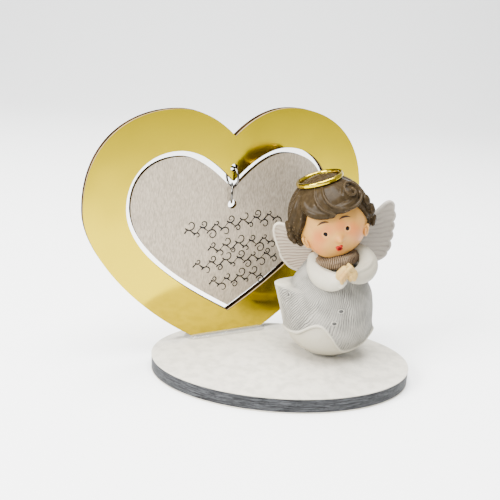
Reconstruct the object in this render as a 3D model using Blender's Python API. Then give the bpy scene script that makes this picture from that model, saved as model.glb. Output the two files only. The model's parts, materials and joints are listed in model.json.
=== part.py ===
"""A favour ornament: a resin angel glued in front of a gilded heart with a hanging silvered heart.

Units are metres, +Z is up, and the origin is the centre of the board's underside. The board's long axis is X,
and the angel looks towards -Y. Every piece is a separate closed solid, and pieces that touch keep a small gap.
"""

import math

import bmesh
import bpy
from mathutils import Matrix, Vector

MM = 0.001
GAP = 0.3 * MM  # between pieces that touch
WELD = 0.005 * MM  # points closer than this are one
BOND = 0.15 * MM  # between a glued piece and its glue

# The oval board: a fibre core between two thin melamine skins.
BOARD_LENGTH = 90 * MM
BOARD_WIDTH = 56 * MM
BOARD_HEIGHT = 5.5 * MM
SKIN = 0.4 * MM

# The gilded heart stands on its cut-off point and is turned so that its left end is the nearer one.
FRAME_FOOT = Vector((-20.2, 18.2, 0)) * MM
FRAME_YAW = math.radians(25.9)
FRAME_THICKNESS = 3 * MM
FRAME_LIFT = 0.7 * MM  # the foot stands this far above the board, on its glue
FRAME_HOLE = (62.0 * MM, 1.45 * MM)  # height above the foot, radius
PLATE_THICKNESS = 2 * MM
PLATE_HOLE = (48.9 * MM, 1.6 * MM)

# The two jump rings that carry the silvered heart.
WIRE = 0.8 * MM
UPPER_RING = (58.6 * MM, 3.45 * MM, math.radians(12))  # height, mean radius, turn about the vertical
LOWER_RING = (52.7 * MM, 3.4 * MM, math.radians(-25))
UPPER_PIVOT = 61.3 * MM
LINK_PIVOT = 55.6 * MM
PLATE_PIVOT = 49.9 * MM

# The angel. Heights are above the board, and places are from the middle of the robe.
FIGURE_FOOT = Vector((16, 6, 0)) * MM
ROBE_DEPTH_RATIO = 0.86
ROBE_PROFILE = ((16.0, 14), (15.1, 21), (13.9, 25.2), (12.9, 26.4), (11.7, 30), (9.4, 34), (6.0, 37.4))
BOWL_PROFILE = ((4.6, 0.7), (7.6, 1.9), (10.4, 3.9), (12.5, 6.6), (13.9, 9.8), (14.3, 13), (13.2, 15.6))
HEM_LOW = 3.2 * MM
ROBE_SEGMENTS = 48
CLOTH = 1.35 * MM  # thickness of the robe's skirt

HEAD_CENTRE = Vector((-1.8, 0.5, 49.3)) * MM
HEAD_RADII = Vector((11.8, 12.0, 12.6)) * MM
HEAD_ROLL = math.radians(-19)
HEAD_TURN = math.radians(12)
HAIR_CENTRE = Vector((-2.7, 1.7, 50.6)) * MM
HAIR_RADII = Vector((13.4, 13.4, 13.7)) * MM
HALO_RISE = 12.8 * MM
HALO_RADIUS = 7.4 * MM
HALO_WIRE = 0.65 * MM
COLLAR_CENTRE = Vector((0.4, -0.2, 36.4)) * MM
COLLAR_RADIUS = 7.6 * MM
COLLAR_TILT = math.radians(-12)
PLEATS = 22
WING_THICKNESS = 1.7 * MM

COLOURS = {
    "melamine": ((0.83, 0.82, 0.80), 0.55, 0.0),
    "board_edge": ((0.36, 0.37, 0.38), 0.6, 0.1),
    "gold_mirror": ((0.83, 0.66, 0.25), 0.12, 1.0),
    "silver_brushed": ((0.62, 0.60, 0.58), 0.38, 0.9),
    "chrome": ((0.85, 0.85, 0.85), 0.12, 1.0),
    "clear_glue": ((0.86, 0.86, 0.84), 0.3, 0.0),
    "white_resin": ((0.82, 0.82, 0.81), 0.5, 0.0),
    "robe_wash": ((0.70, 0.71, 0.72), 0.6, 0.0),
    "collar_wash": ((0.62, 0.55, 0.47), 0.6, 0.0),
    "skin_paint": ((0.86, 0.66, 0.52), 0.45, 0.0),
    "hand_paint": ((0.85, 0.79, 0.70), 0.45, 0.0),
    "hair_paint": ((0.27, 0.22, 0.17), 0.3, 0.0),
    "halo_gold": ((0.80, 0.64, 0.22), 0.18, 1.0),
    "wing_paint": ((0.74, 0.72, 0.73), 0.6, 0.0),
}


# ---------------------------------------------------------------- helpers


def clear_scene():
    for obj in list(bpy.data.objects):
        bpy.data.objects.remove(obj, do_unlink=True)


def material(name):
    """The Principled material of this finish, made once."""
    found = bpy.data.materials.get(name)
    if found:
        return found
    colour, roughness, metallic = COLOURS[name]
    made = bpy.data.materials.new(name)
    made.use_nodes = True
    shader = made.node_tree.nodes["Principled BSDF"]
    shader.inputs["Base Color"].default_value = (*colour, 1)
    shader.inputs["Roughness"].default_value = roughness
    shader.inputs["Metallic"].default_value = metallic
    made.diffuse_color = (*colour, 1)
    return made


def empty(name, location, yaw=0.0):
    """A datum that pieces are parented to."""
    datum = bpy.data.objects.new(name, None)
    bpy.context.scene.collection.objects.link(datum)
    datum.location = location
    datum.rotation_euler = (0, 0, yaw)
    return datum


def piece(name, bm, finish, parent=None, location=(0, 0, 0), sharp=35):
    """Turns a bmesh into a named object with its finish, under its parent."""
    bmesh.ops.recalc_face_normals(bm, faces=bm.faces[:])
    mesh = bpy.data.meshes.new(name)
    bm.to_mesh(mesh)
    bm.free()
    mesh.shade_smooth()
    mesh.set_sharp_from_angle(angle=math.radians(sharp))
    mesh.materials.append(material(finish))
    obj = bpy.data.objects.new(name, mesh)
    bpy.context.scene.collection.objects.link(obj)
    obj.parent = parent
    obj.location = location
    return obj


def hide(obj):
    """Makes an object a cutter, which is no piece."""
    obj.hide_render = True
    obj.display_type = "WIRE"
    return obj


def cut(obj, *cutters):
    """Cuts each cutter out of the object."""
    for cutter in cutters:
        boolean = obj.modifiers.new("cut_" + cutter.name, "BOOLEAN")
        boolean.operation = "DIFFERENCE"
        boolean.solver = "EXACT"
        boolean.object = cutter


def join(obj, *others):
    """Unites the object with other solids, which become helpers."""
    for other in others:
        boolean = obj.modifiers.new("join_" + other.name, "BOOLEAN")
        boolean.operation = "UNION"
        boolean.solver = "EXACT"
        boolean.object = hide(other)


def grown(obj, gap=GAP):
    """A cutter of the object's uncut shape, larger by the gap all round."""
    bm = bmesh.new()
    bm.from_mesh(obj.data)
    bm.normal_update()
    moves = [(vert, vert.normal * gap * 1.15) for vert in bm.verts]
    for vert, move in moves:
        vert.co += move
    return hide(piece(obj.name + "_clearance", bm, "white_resin", obj.parent, obj.location))


def bezier(start, leave, arrive, end, steps):
    """Points of a cubic from start up to, but not including, its end."""
    points = []
    for step in range(steps):
        t = step / steps
        s = 1 - t
        blend = (s * s * s, 3 * s * s * t, 3 * s * t * t, t * t * t)
        points.append(tuple(sum(w * p[i] for w, p in zip(blend, (start, leave, arrive, end))) for i in (0, 1)))
    return points


def smooth_loop(knots, steps):
    """A closed Catmull-Rom loop through the knots."""
    count = len(knots)
    points = []
    for i in range(count):
        before, here, there, after = (Vector(knots[(i + k) % count]) for k in (-1, 0, 1, 2))
        points += bezier(here, here + (there - before) / 6, there - (after - here) / 6, there, steps)
    return points


def smooth_path(knots, steps):
    """An open Catmull-Rom path through knots of any size, its end included."""
    ends = [Vector(k) for k in knots]
    ends = [ends[0] * 2 - ends[1], *ends, ends[-1] * 2 - ends[-2]]
    points = []
    for before, here, there, after in zip(ends, ends[1:], ends[2:], ends[3:]):
        for step in range(steps):
            t = step / steps
            a = 2 * here + (there - before) * t
            b = (2 * before - 5 * here + 4 * there - after) * t * t
            c = (3 * here - before - 3 * there + after) * t * t * t
            points.append((a + b + c) / 2)
    return [*points, ends[-2]]


def slab(points, thickness):
    """A plate in the XZ plane with this outline, its thickness centred on Y = 0."""
    bm = bmesh.new()
    verts = [bm.verts.new((x, -thickness / 2, z)) for x, z in points]
    face = bm.faces.new(verts)
    made = bmesh.ops.extrude_face_region(bm, geom=[face])
    top = [v for v in made["geom"] if isinstance(v, bmesh.types.BMVert)]
    bmesh.ops.translate(bm, verts=top, vec=(0, thickness, 0))
    return bm


def lathe(profile, segments, depth_ratio=1.0):
    """A solid turned about Z from (radius, height) points that start and end off the axis."""
    bm = bmesh.new()
    verts = [bm.verts.new((radius, 0, height)) for radius, height in profile]
    first = bm.verts.new((0, 0, profile[0][1]))
    last = bm.verts.new((0, 0, profile[-1][1]))
    ring = [first, *verts, last]
    edges = [bm.edges.new(pair) for pair in zip(ring, ring[1:])]
    bmesh.ops.spin(
        bm, geom=ring + edges, cent=(0, 0, 0), axis=(0, 0, 1), angle=math.tau, steps=segments, use_merge=True
    )
    bmesh.ops.remove_doubles(bm, verts=bm.verts[:], dist=WELD)
    bmesh.ops.scale(bm, vec=(1, depth_ratio, 1), verts=bm.verts[:])
    return bm


def ring_tube(radius, tube, segments, sides):
    """A closed ring of round wire in the YZ plane."""
    bm = bmesh.new()
    bmesh.ops.create_circle(bm, radius=tube, segments=sides, matrix=Matrix.Translation((0, radius, 0)))
    section = [*bm.verts, *bm.edges]
    bmesh.ops.spin(
        bm, geom=section, cent=(0, 0, 0), axis=(1, 0, 0), angle=math.tau, steps=segments, use_merge=True
    )
    bmesh.ops.remove_doubles(bm, verts=bm.verts[:], dist=WELD)
    return bm


def ellipsoid(centre, radii, turn=None, detail=3):
    """An ellipsoid turned about its own centre."""
    bm = bmesh.new()
    bmesh.ops.create_icosphere(bm, subdivisions=detail, radius=1)
    bmesh.ops.scale(bm, vec=radii, verts=bm.verts[:])
    if turn:
        bmesh.ops.transform(bm, matrix=turn, verts=bm.verts[:])
    bmesh.ops.translate(bm, verts=bm.verts[:], vec=centre)
    return bm


def limb(knots, steps=4, sides=12):
    """A round tapering tube through (x, y, z, radius) knots in millimetres, with domed ends."""
    path = smooth_path([Vector(k) for k in knots], steps)
    places = [Vector(p[:3]) * MM for p in path]
    radii = [p[3] * MM for p in path]
    bm = bmesh.new()
    rings = []
    for i, (place, radius) in enumerate(zip(places, radii)):
        ahead = places[min(i + 1, len(places) - 1)] - places[max(i - 1, 0)]
        turn = ahead.to_track_quat("Z", "Y").to_matrix().to_4x4()
        made = bmesh.ops.create_circle(bm, radius=radius, segments=sides, matrix=Matrix.Translation(place) @ turn)
        rings.append(made["verts"])
    for near, far in zip(rings, rings[1:]):
        edges = {e for v in near + far for e in v.link_edges}
        bmesh.ops.bridge_loops(bm, edges=list(edges & open_edges(near, far)))
    dome(bm, rings[0], places[0] - places[1], radii[0])
    dome(bm, rings[-1], places[-1] - places[-2], radii[-1])
    return bm


def open_edges(*rings):
    """The edges that lie within one of the rings."""
    found = set()
    for ring in rings:
        members = set(ring)
        found |= {e for v in ring for e in v.link_edges if e.other_vert(v) in members}
    return found


def dome(bm, ring, outward, radius):
    """Closes a tube's end with a low dome."""
    centre = sum((v.co for v in ring), Vector()) / len(ring)
    outward = outward.normalized()
    tip = bm.verts.new(centre + outward * radius * 0.75)
    shoulder = [bm.verts.new(centre + (v.co - centre) * 0.7 + outward * radius * 0.5) for v in ring]
    count = len(ring)
    for i in range(count):
        j = (i + 1) % count
        a, b = (ring[i], ring[j])
        if not bm.edges.get((a, b)):
            continue
        bm.faces.new((a, b, shoulder[j], shoulder[i]))
        bm.faces.new((shoulder[i], shoulder[j], tip))


# ---------------------------------------------------------------- board


def oval(length, width, bottom, height, segments=72):
    """An upright oval disc."""
    bm = bmesh.new()
    bmesh.ops.create_cone(
        bm, cap_ends=True, cap_tris=False, segments=segments, radius1=0.5, radius2=0.5, depth=height
    )
    bmesh.ops.scale(bm, vec=(length, width, 1), verts=bm.verts[:])
    bmesh.ops.translate(bm, verts=bm.verts[:], vec=(0, 0, bottom + height / 2))
    return bm


def build_board():
    core_height = BOARD_HEIGHT - 2 * (SKIN + GAP)
    piece("board_bottom_skin", oval(BOARD_LENGTH, BOARD_WIDTH, 0, SKIN), "melamine")
    piece("board_core", oval(BOARD_LENGTH, BOARD_WIDTH, SKIN + GAP, core_height), "board_edge")
    piece("board_top_skin", oval(BOARD_LENGTH, BOARD_WIDTH, BOARD_HEIGHT - SKIN, SKIN), "melamine")


# ---------------------------------------------------------------- hearts and rings


def heart(half_width, widest, lobe, top, cleft, tip, handles, steps=11):
    """A heart outline, in metres from numbers in millimetres. The handles say how far each bend reaches."""
    cleft_out, lobe_in, lobe_out, side_up, side_down, tip_out = handles
    crown = (lobe, top)
    side = (half_width, widest)
    half = bezier((0, cleft), (cleft_out[0], cleft + cleft_out[1]), (lobe - lobe_in, top), crown, steps)
    half += bezier(crown, (lobe + lobe_out, top), (half_width, widest + side_up), side, steps)
    half += bezier(side, (half_width, widest - side_down), (tip_out[0], tip + tip_out[1]), (0, tip), steps)
    left = [(-x, z) for x, z in reversed(half[1:])]
    return [(x * MM, z * MM) for x, z in [*half, (0, tip), *left]]


def foot_cut(points):
    """The outline with everything below the foot cut straight off."""
    kept = []
    for (x0, z0), (x1, z1) in zip(points, [*points[1:], points[0]]):
        if z0 > 0:
            kept.append((x0, z0))
        if (z0 > 0) != (z1 > 0):
            share = z0 / (z0 - z1)
            kept.append((x0 + (x1 - x0) * share, 0))
    return kept


def hole_cutter(name, height, radius, parent, location=(0, 0, 0)):
    """A round cutter through a sheet, at this height above the sheet's foot."""
    bm = bmesh.new()
    bmesh.ops.create_cone(bm, cap_ends=True, segments=28, radius1=radius, radius2=radius, depth=10 * MM)
    bmesh.ops.rotate(bm, verts=bm.verts[:], matrix=Matrix.Rotation(math.pi / 2, 3, "X"))
    bmesh.ops.translate(bm, verts=bm.verts[:], vec=(0, 0, height))
    return hide(piece(name, bm, "chrome", parent, location))


def build_heart_frame(datum):
    outline = foot_cut(heart(52.4, 49, 20.3, 82.3, 72.9, -6, ((5.3, 5.2), 8.3, 18.4, 21.2, 19.2, (21.9, 6.1))))
    opening = heart(38.3, 49.5, 19.8, 68.5, 57.3, 8.3, ((4.7, 5.1), 7.7, 10.9, 11, 15.6, (17.8, 11)))
    frame = piece("heart_frame", slab(outline, FRAME_THICKNESS), "gold_mirror", datum)
    window = hide(piece("heart_frame_window", slab(opening, 3 * FRAME_THICKNESS), "gold_mirror", datum))
    cut(frame, window, hole_cutter("frame_hole", *FRAME_HOLE, datum))
    return frame


def build_frame_glue(datum, frame):
    """The clear bead that the foot of the gilded heart stands in."""
    half = 15.6 * MM
    rise = 1.5 * MM
    bm = bmesh.new()
    bmesh.ops.create_cone(bm, cap_ends=True, segments=20, radius1=3.2 * MM, radius2=2.2 * MM, depth=rise)
    for vert in bm.verts:
        vert.co.x += math.copysign(half - 3.2 * MM, vert.co.x)
    bmesh.ops.translate(bm, verts=bm.verts[:], vec=(0, 0, rise / 2 + BOND - FRAME_LIFT))
    bead = piece("frame_glue", bm, "clear_glue", datum)
    cut(bead, grown(frame, BOND))
    return bead


def build_heart_plate(pivot):
    outline = heart(36.7, 49.5, 19.4, 66.5, 54.4, 10.4, ((4.7, 5.1), 7.2, 10.4, 10.5, 15, (16.9, 10.6)))
    hung = [(x, z - PLATE_PIVOT) for x, z in outline]
    plate = piece("heart_plate", slab(hung, PLATE_THICKNESS), "silver_brushed", pivot)
    cut(plate, hole_cutter("plate_hole", PLATE_HOLE[0] - PLATE_PIVOT, PLATE_HOLE[1], pivot))
    return plate


def build_ring(name, ring, pivot_height, pivot):
    """A jump ring whose origin is where it hangs."""
    height, radius, turn = ring
    bm = ring_tube(radius, WIRE / 2, 32, 10)
    bmesh.ops.rotate(bm, verts=bm.verts[:], matrix=Matrix.Rotation(turn, 3, "Z"))
    bmesh.ops.translate(bm, verts=bm.verts[:], vec=(0, 0, height - pivot_height))
    return piece(name, bm, "chrome", pivot)


def build_hearts():
    datum = empty("heart_datum", FRAME_FOOT + Vector((0, 0, BOARD_HEIGHT + FRAME_LIFT)), FRAME_YAW)
    frame = build_heart_frame(datum)
    build_frame_glue(datum, frame)
    pivots = []
    for name, height in (("upper_ring", UPPER_PIVOT), ("lower_ring", LINK_PIVOT), ("plate", PLATE_PIVOT)):
        pivot = empty(name + "_pivot", (0, 0, height))
        pivot.parent = datum
        pivots.append(pivot)
    build_ring("jump_ring_upper", UPPER_RING, UPPER_PIVOT, pivots[0])
    build_ring("jump_ring_lower", LOWER_RING, LINK_PIVOT, pivots[1])
    build_heart_plate(pivots[2])


# ---------------------------------------------------------------- angel


def hem_height(angle):
    """Height of the robe's hem. The angle is 0 at the front and grows towards the angel's left hand."""
    petal = 10.4 * math.exp(-(((angle + 0.34) / 0.48) ** 2))
    sweep = 7.0 * math.exp(-(((angle + 1.75) / 0.55) ** 2))
    lift = 5.0 * math.exp(-(((angle - 1.50) / 0.35) ** 2))
    back = 3.0 * math.exp(-(((abs(angle) - math.pi) / 0.7) ** 2))
    return HEM_LOW + (petal + sweep + lift + back) * MM


def build_bowl(datum):
    """The smooth underside that closes the skirt and carries the figure."""
    profile = [(r * MM, z * MM) for r, z in BOWL_PROFILE]
    return piece("robe_underside", lathe(profile, ROBE_SEGMENTS, ROBE_DEPTH_RATIO), "white_resin", datum)


def robe_profile():
    """The robe's outline from the level of the hem up to the neck."""
    skirt = [(r * MM + CLOTH, z * MM) for r, z in BOWL_PROFILE[2:6]]
    return [*skirt, *((r * MM, z * MM) for r, z in ROBE_PROFILE)]


def build_robe(datum, bowl):
    """The bell of the robe, with a wavy hem and a pointed fold blown out to the right of the angel."""
    bm = lathe(robe_profile(), ROBE_SEGMENTS, ROBE_DEPTH_RATIO)
    low = BOWL_PROFILE[2][1] * MM
    high = BOWL_PROFILE[5][1] * MM
    for vert in bm.verts:
        angle = math.atan2(vert.co.x, -vert.co.y / ROBE_DEPTH_RATIO)
        if vert.co.z < high + 0.1 * MM and vert.co.xy.length > 5 * MM:
            share = (high - vert.co.z) / (high - low)
            wanted = min(hem_height(angle), high - 1.5 * MM)
            vert.co.z += (wanted - low) * share
        flare_out(vert, angle)
    robe = piece("robe", bm, "robe_wash", datum)
    cut(robe, grown(bowl))
    return robe


def flare_out(vert, angle):
    """Pulls the cloth on the angel's right out to a corner just under the waist."""
    side = math.exp(-(((angle + math.pi / 2) / 0.45) ** 2))
    rise = vert.co.z / MM
    if vert.co.xy.length < 12.4 * MM or not 12 < rise < 25.5:
        return
    reach = 5.2 * MM * side * ((rise - 12) / 13) ** 1.4
    vert.co.x -= reach
    vert.co.z += 0.3 * reach * side


def head_turn():
    """The head's lean to its own right and its small turn to its left."""
    return Matrix.Rotation(HEAD_ROLL, 4, "Y") @ Matrix.Rotation(HEAD_TURN, 4, "Z")


def build_head(datum):
    """The head with its ears and neck, and the clearances that its neighbours are cut with."""
    turn = head_turn()
    head = piece("head", ellipsoid(HEAD_CENTRE, HEAD_RADII, turn), "skin_paint", datum)
    parts = []
    for side in ("right", "left"):
        reach = -10.9 if side == "right" else 10.9
        place = HEAD_CENTRE + turn @ Vector((reach, -1.6, -3.2)) * MM
        ear = ellipsoid(place, Vector((1.5, 1.7, 2.6)) * MM, turn, 2)
        parts.append(piece("ear_" + side, ear, "skin_paint", datum))
    neck = limb([(-0.6, 0.5, 36.4, 4.6), (-0.3, 0.5, 40.5, 4.4)], 2)
    parts.append(piece("neck", neck, "skin_paint", datum))
    join(head, *parts)
    return [grown(obj) for obj in (head, *parts)]


def build_hair(datum, head_rooms):
    """The cap of hair with a window for the face, open below at the nape."""
    turn = head_turn()
    cap = piece("hair", ellipsoid(HAIR_CENTRE, HAIR_RADII, turn), "hair_paint", datum)
    window = ellipsoid(
        HAIR_CENTRE + turn @ Vector((-0.9, -13.5, -6.4)) * MM, Vector((11.6, 12.5, 11.2)) * MM, turn
    )
    nape = bmesh.new()
    bmesh.ops.create_cube(nape, size=60 * MM)
    bmesh.ops.translate(nape, verts=nape.verts[:], vec=(0, 0, -30 * MM))
    bmesh.ops.transform(nape, matrix=turn, verts=nape.verts[:])
    bmesh.ops.translate(nape, verts=nape.verts[:], vec=HAIR_CENTRE + Vector((0, 0, -8.2)) * MM)
    cut(
        cap,
        hide(piece("hair_window", window, "hair_paint", datum)),
        hide(piece("hair_nape", nape, "hair_paint", datum)),
        *head_rooms,
    )
    return cap


def build_locks(datum, clearances):
    """The swept fringe and the curled locks at both sides."""
    fringe = limb(
        [(-12.8, -4.6, 53.0, 1.8), (-8.6, -9.6, 55.4, 3.4), (-2.2, -11.8, 56.4, 4.2), (2.8, -10.6, 57.6, 4.3)]
        + [(6.0, -7.4, 58.6, 3.4), (7.6, -4.0, 59.0, 2.2)]
    )
    fringe_piece = piece("hair_fringe", fringe, "hair_paint", datum)
    left = limb([(7.6, -4.4, 57.6, 1.8), (8.9, -4.8, 54.4, 2.4), (9.3, -4.4, 50.6, 2.3), (8.6, -4.2, 47.2, 1.6)])
    right = limb(
        [(-14.4, -2.6, 52.4, 1.4), (-14.8, -3.6, 48.6, 2.3), (-13.4, -4.4, 44.6, 2.8), (-10.9, -4.4, 42.6, 1.7)]
    )
    left_piece = piece("hair_lock_left", left, "hair_paint", datum)
    right_piece = piece("hair_lock_right", right, "hair_paint", datum)
    cut(fringe_piece, *clearances)
    fringe_clearance = grown(fringe_piece)
    for lock in (left_piece, right_piece):
        cut(lock, *clearances, fringe_clearance)
    return fringe_piece, left_piece, right_piece


def build_halo(datum):
    bm = ring_tube(HALO_RADIUS, HALO_WIRE, 40, 8)
    bmesh.ops.rotate(bm, verts=bm.verts[:], matrix=Matrix.Rotation(math.pi / 2, 3, "Y"))
    bmesh.ops.translate(bm, verts=bm.verts[:], vec=(0, 0, HALO_RISE))
    bmesh.ops.transform(bm, matrix=head_turn(), verts=bm.verts[:])
    bmesh.ops.translate(bm, verts=bm.verts[:], vec=HAIR_CENTRE)
    return piece("halo", bm, "halo_gold", datum)


def build_collar(datum, clearances):
    """The pleated ruff at the neck."""
    bm = ring_tube(COLLAR_RADIUS, 2.2 * MM, 2 * PLEATS, 8)
    bmesh.ops.rotate(bm, verts=bm.verts[:], matrix=Matrix.Rotation(math.pi / 2, 3, "Y"))
    for vert in bm.verts:
        angle = math.atan2(vert.co.y, vert.co.x)
        crest = 1 + 0.035 * math.cos(PLEATS * angle)
        vert.co.x *= crest
        vert.co.y *= crest
    bmesh.ops.rotate(bm, verts=bm.verts[:], matrix=Matrix.Rotation(COLLAR_TILT, 3, "Y"))
    bmesh.ops.translate(bm, verts=bm.verts[:], vec=COLLAR_CENTRE)
    collar = piece("collar", bm, "collar_wash", datum)
    cut(collar, *clearances)
    return collar


def build_arms(datum, clearances):
    """The clasped hands, and the two sleeves that reach them."""
    lean = Matrix.Rotation(math.radians(18), 4, "Y")
    hands = piece(
        "hands", ellipsoid(Vector((2.9, -13.4, 35.4)) * MM, Vector((3.4, 2.9, 4.3)) * MM, lean), "hand_paint", datum
    )
    cut(hands, *clearances)
    right = limb(
        [(-7.0, -3.6, 32.4, 2.4), (-6.4, -6.4, 32.0, 3.2), (-4.0, -10.2, 31.2, 3.6), (0.2, -13.0, 32.8, 3.1)]
    )
    left = limb([(8.8, -1.2, 39.0, 2.8), (11.3, -4.6, 35.6, 3.7), (9.2, -9.4, 33.6, 3.6), (5.0, -12.6, 34.6, 2.9)])
    hand_clearance = grown(hands)
    right_piece = piece("sleeve_right", right, "white_resin", datum)
    left_piece = piece("sleeve_left", left, "white_resin", datum)
    cut(right_piece, *clearances, hand_clearance)
    cut(left_piece, *clearances, hand_clearance)
    return hands, right_piece, left_piece


def build_wing(name, knots, angle, hinge_x, datum, clearances):
    """A flat feathered wing with rounded edges, turned back about its root."""
    points = [(x * MM, z * MM) for x, z in smooth_loop(knots, 3)]
    bm = slab(points, WING_THICKNESS)
    rim = [e for e in bm.edges if abs(e.verts[0].co.y - e.verts[1].co.y) < 0.1 * MM]
    bmesh.ops.bevel(bm, geom=rim, offset=0.45 * MM, segments=2, profile=0.5, affect="EDGES", material=-1)
    root = Matrix.Translation((hinge_x, 0, 0))
    turn = root @ Matrix.Rotation(angle, 4, "Z") @ root.inverted()
    bmesh.ops.transform(bm, matrix=turn, verts=bm.verts[:])
    bmesh.ops.translate(bm, verts=bm.verts[:], vec=(0, 9.2 * MM, 0))
    wing = piece(name, bm, "wing_paint", datum)
    cut(wing, *clearances)
    return wing


def build_wings(datum, clearances):
    right = ((-20.9, 44.8), (-21.2, 41.2), (-19.8, 36.4), (-17.8, 31.6), (-14.6, 28.2), (-11.4, 27.6))
    right += ((-8.4, 30.0), (-4.0, 33.0), (-3.6, 39.0), (-9.0, 43.0), (-15.0, 44.3))
    left = ((18.8, 55.2), (21.0, 52.8), (21.2, 48.0), (20.4, 43.2), (18.8, 37.6), (16.4, 33.0), (12.4, 32.2))
    left += ((4.6, 32.6), (4.4, 39.0), (9.0, 45.6), (14.0, 51.6))
    build_wing("wing_right", right, math.radians(-4), -4 * MM, datum, clearances)
    build_wing("wing_left", left, math.radians(6), 4 * MM, datum, clearances)


def build_figure_glue(datum):
    """The thin pad of glue under the robe."""
    height = BOWL_PROFILE[0][1] * MM - 2 * BOND
    radius = BOWL_PROFILE[0][0] * MM
    bm = oval(2 * radius, 2 * radius * ROBE_DEPTH_RATIO, BOND, height, 32)
    return piece("figure_glue", bm, "clear_glue", datum)


def build_figure():
    datum = empty("figure_datum", FIGURE_FOOT + Vector((0, 0, BOARD_HEIGHT)))
    build_figure_glue(datum)
    robe = build_robe(datum, build_bowl(datum))
    robe_room = grown(robe)
    head_rooms = build_head(datum)
    cut(robe, *head_rooms)
    halo_room = grown(build_halo(datum))
    collar = build_collar(datum, (*head_rooms, robe_room))
    collar_room = grown(collar)
    hair = build_hair(datum, head_rooms)
    cut(hair, halo_room, robe_room, collar_room)
    hair_room = grown(hair)
    locks = build_locks(datum, (*head_rooms, hair_room, collar_room, halo_room))
    arms = build_arms(datum, (robe_room, *head_rooms, collar_room))
    neighbours = [grown(obj) for obj in (*locks, *arms)]
    build_wings(datum, (robe_room, *head_rooms, collar_room, hair_room, *neighbours))


clear_scene()
build_board()
build_hearts()
build_figure()
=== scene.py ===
"""A favour ornament: a resin angel on an oval board, before a gold heart with a silver heart hung inside it.

Lengths are in metres unless a name or a docstring says otherwise, and +Z is up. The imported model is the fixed
frame. Each visible piece is modelled here in finer detail, in the place of the solid that it stands for.
"""

import json
import logging
import math
from dataclasses import dataclass, field
from enum import Enum
from typing import Sequence

import bmesh
import bpy
from mathutils import Matrix, Vector, noise


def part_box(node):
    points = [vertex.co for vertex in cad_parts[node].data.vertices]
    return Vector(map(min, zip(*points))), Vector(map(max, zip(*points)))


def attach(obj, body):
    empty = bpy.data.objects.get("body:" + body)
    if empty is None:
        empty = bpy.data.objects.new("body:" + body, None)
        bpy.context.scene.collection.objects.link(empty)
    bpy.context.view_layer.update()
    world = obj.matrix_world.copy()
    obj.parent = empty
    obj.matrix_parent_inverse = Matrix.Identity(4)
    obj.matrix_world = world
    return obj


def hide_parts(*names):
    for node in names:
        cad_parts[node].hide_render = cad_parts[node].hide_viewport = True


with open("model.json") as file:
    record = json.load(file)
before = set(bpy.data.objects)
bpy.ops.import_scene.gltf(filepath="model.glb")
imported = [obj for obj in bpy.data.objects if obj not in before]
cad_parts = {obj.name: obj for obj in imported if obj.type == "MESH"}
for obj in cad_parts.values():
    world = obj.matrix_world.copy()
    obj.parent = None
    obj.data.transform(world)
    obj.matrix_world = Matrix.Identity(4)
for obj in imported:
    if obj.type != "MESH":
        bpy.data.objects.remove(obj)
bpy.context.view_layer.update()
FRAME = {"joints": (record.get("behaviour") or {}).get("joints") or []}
LOG = logging.getLogger("ornament")
MM = 0.001
Colour = tuple[float, float, float]
Flat = tuple[float, float]
MADE: dict[str, bpy.types.Material] = {}
MIX_SHARE, MIX_LOW, MIX_HIGH, MIX_RESULT = 0, 6, 7, 2  # the colour sockets of a Mix node
BORE_SIDES = 40


class Body(Enum):
    """The rigid bodies that pieces ride on."""

    STAND = "stand"
    UPPER_RING = "upper_ring"
    LOWER_RING = "lower_ring"
    HANGING_HEART = "hanging_heart"


class Side(Enum):
    """The angel's own two sides, as the sign of X."""

    RIGHT = -1
    LEFT = 1


# ---------------------------------------------------------------- shader maths


class Value:
    """One output of a shader node. Arithmetic on it adds Math nodes."""

    def __init__(self, graph: "Graph", socket: bpy.types.NodeSocket) -> None:
        """Wraps a socket.

        Args:
            graph: the node tree that the socket belongs to.
            socket: the output that holds the value.
        """
        self.graph = graph
        self.socket = socket

    def __add__(self, other: "Value | float") -> "Value":
        """The sum."""
        return self.graph.math("ADD", self, other)

    def __radd__(self, other: float) -> "Value":
        """The sum, from the right."""
        return self.graph.math("ADD", other, self)

    def __sub__(self, other: "Value | float") -> "Value":
        """The difference."""
        return self.graph.math("SUBTRACT", self, other)

    def __rsub__(self, other: float) -> "Value":
        """The difference, from the right."""
        return self.graph.math("SUBTRACT", other, self)

    def __mul__(self, other: "Value | float") -> "Value":
        """The product."""
        return self.graph.math("MULTIPLY", self, other)

    def __rmul__(self, other: float) -> "Value":
        """The product, from the right."""
        return self.graph.math("MULTIPLY", other, self)

    def sine(self) -> "Value":
        """The sine of the value, in radians."""
        return self.graph.math("SINE", self)

    def size(self) -> "Value":
        """The value without its sign."""
        return self.graph.math("ABSOLUTE", self)

    def ramp(self, low: float, high: float) -> "Value":
        """A smooth rise from 0 at low to 1 at high.

        Args:
            low: the value that gives 0.
            high: the value that gives 1. It may be the smaller one.

        Returns:
            The rise, held between 0 and 1.
        """
        if low > high:
            return 1 - self.ramp(high, low)
        sockets = {"Value": self, "From Min": low, "From Max": high}
        return self.graph.node("ShaderNodeMapRange", {"interpolation_type": "SMOOTHSTEP"}, sockets)


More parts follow.
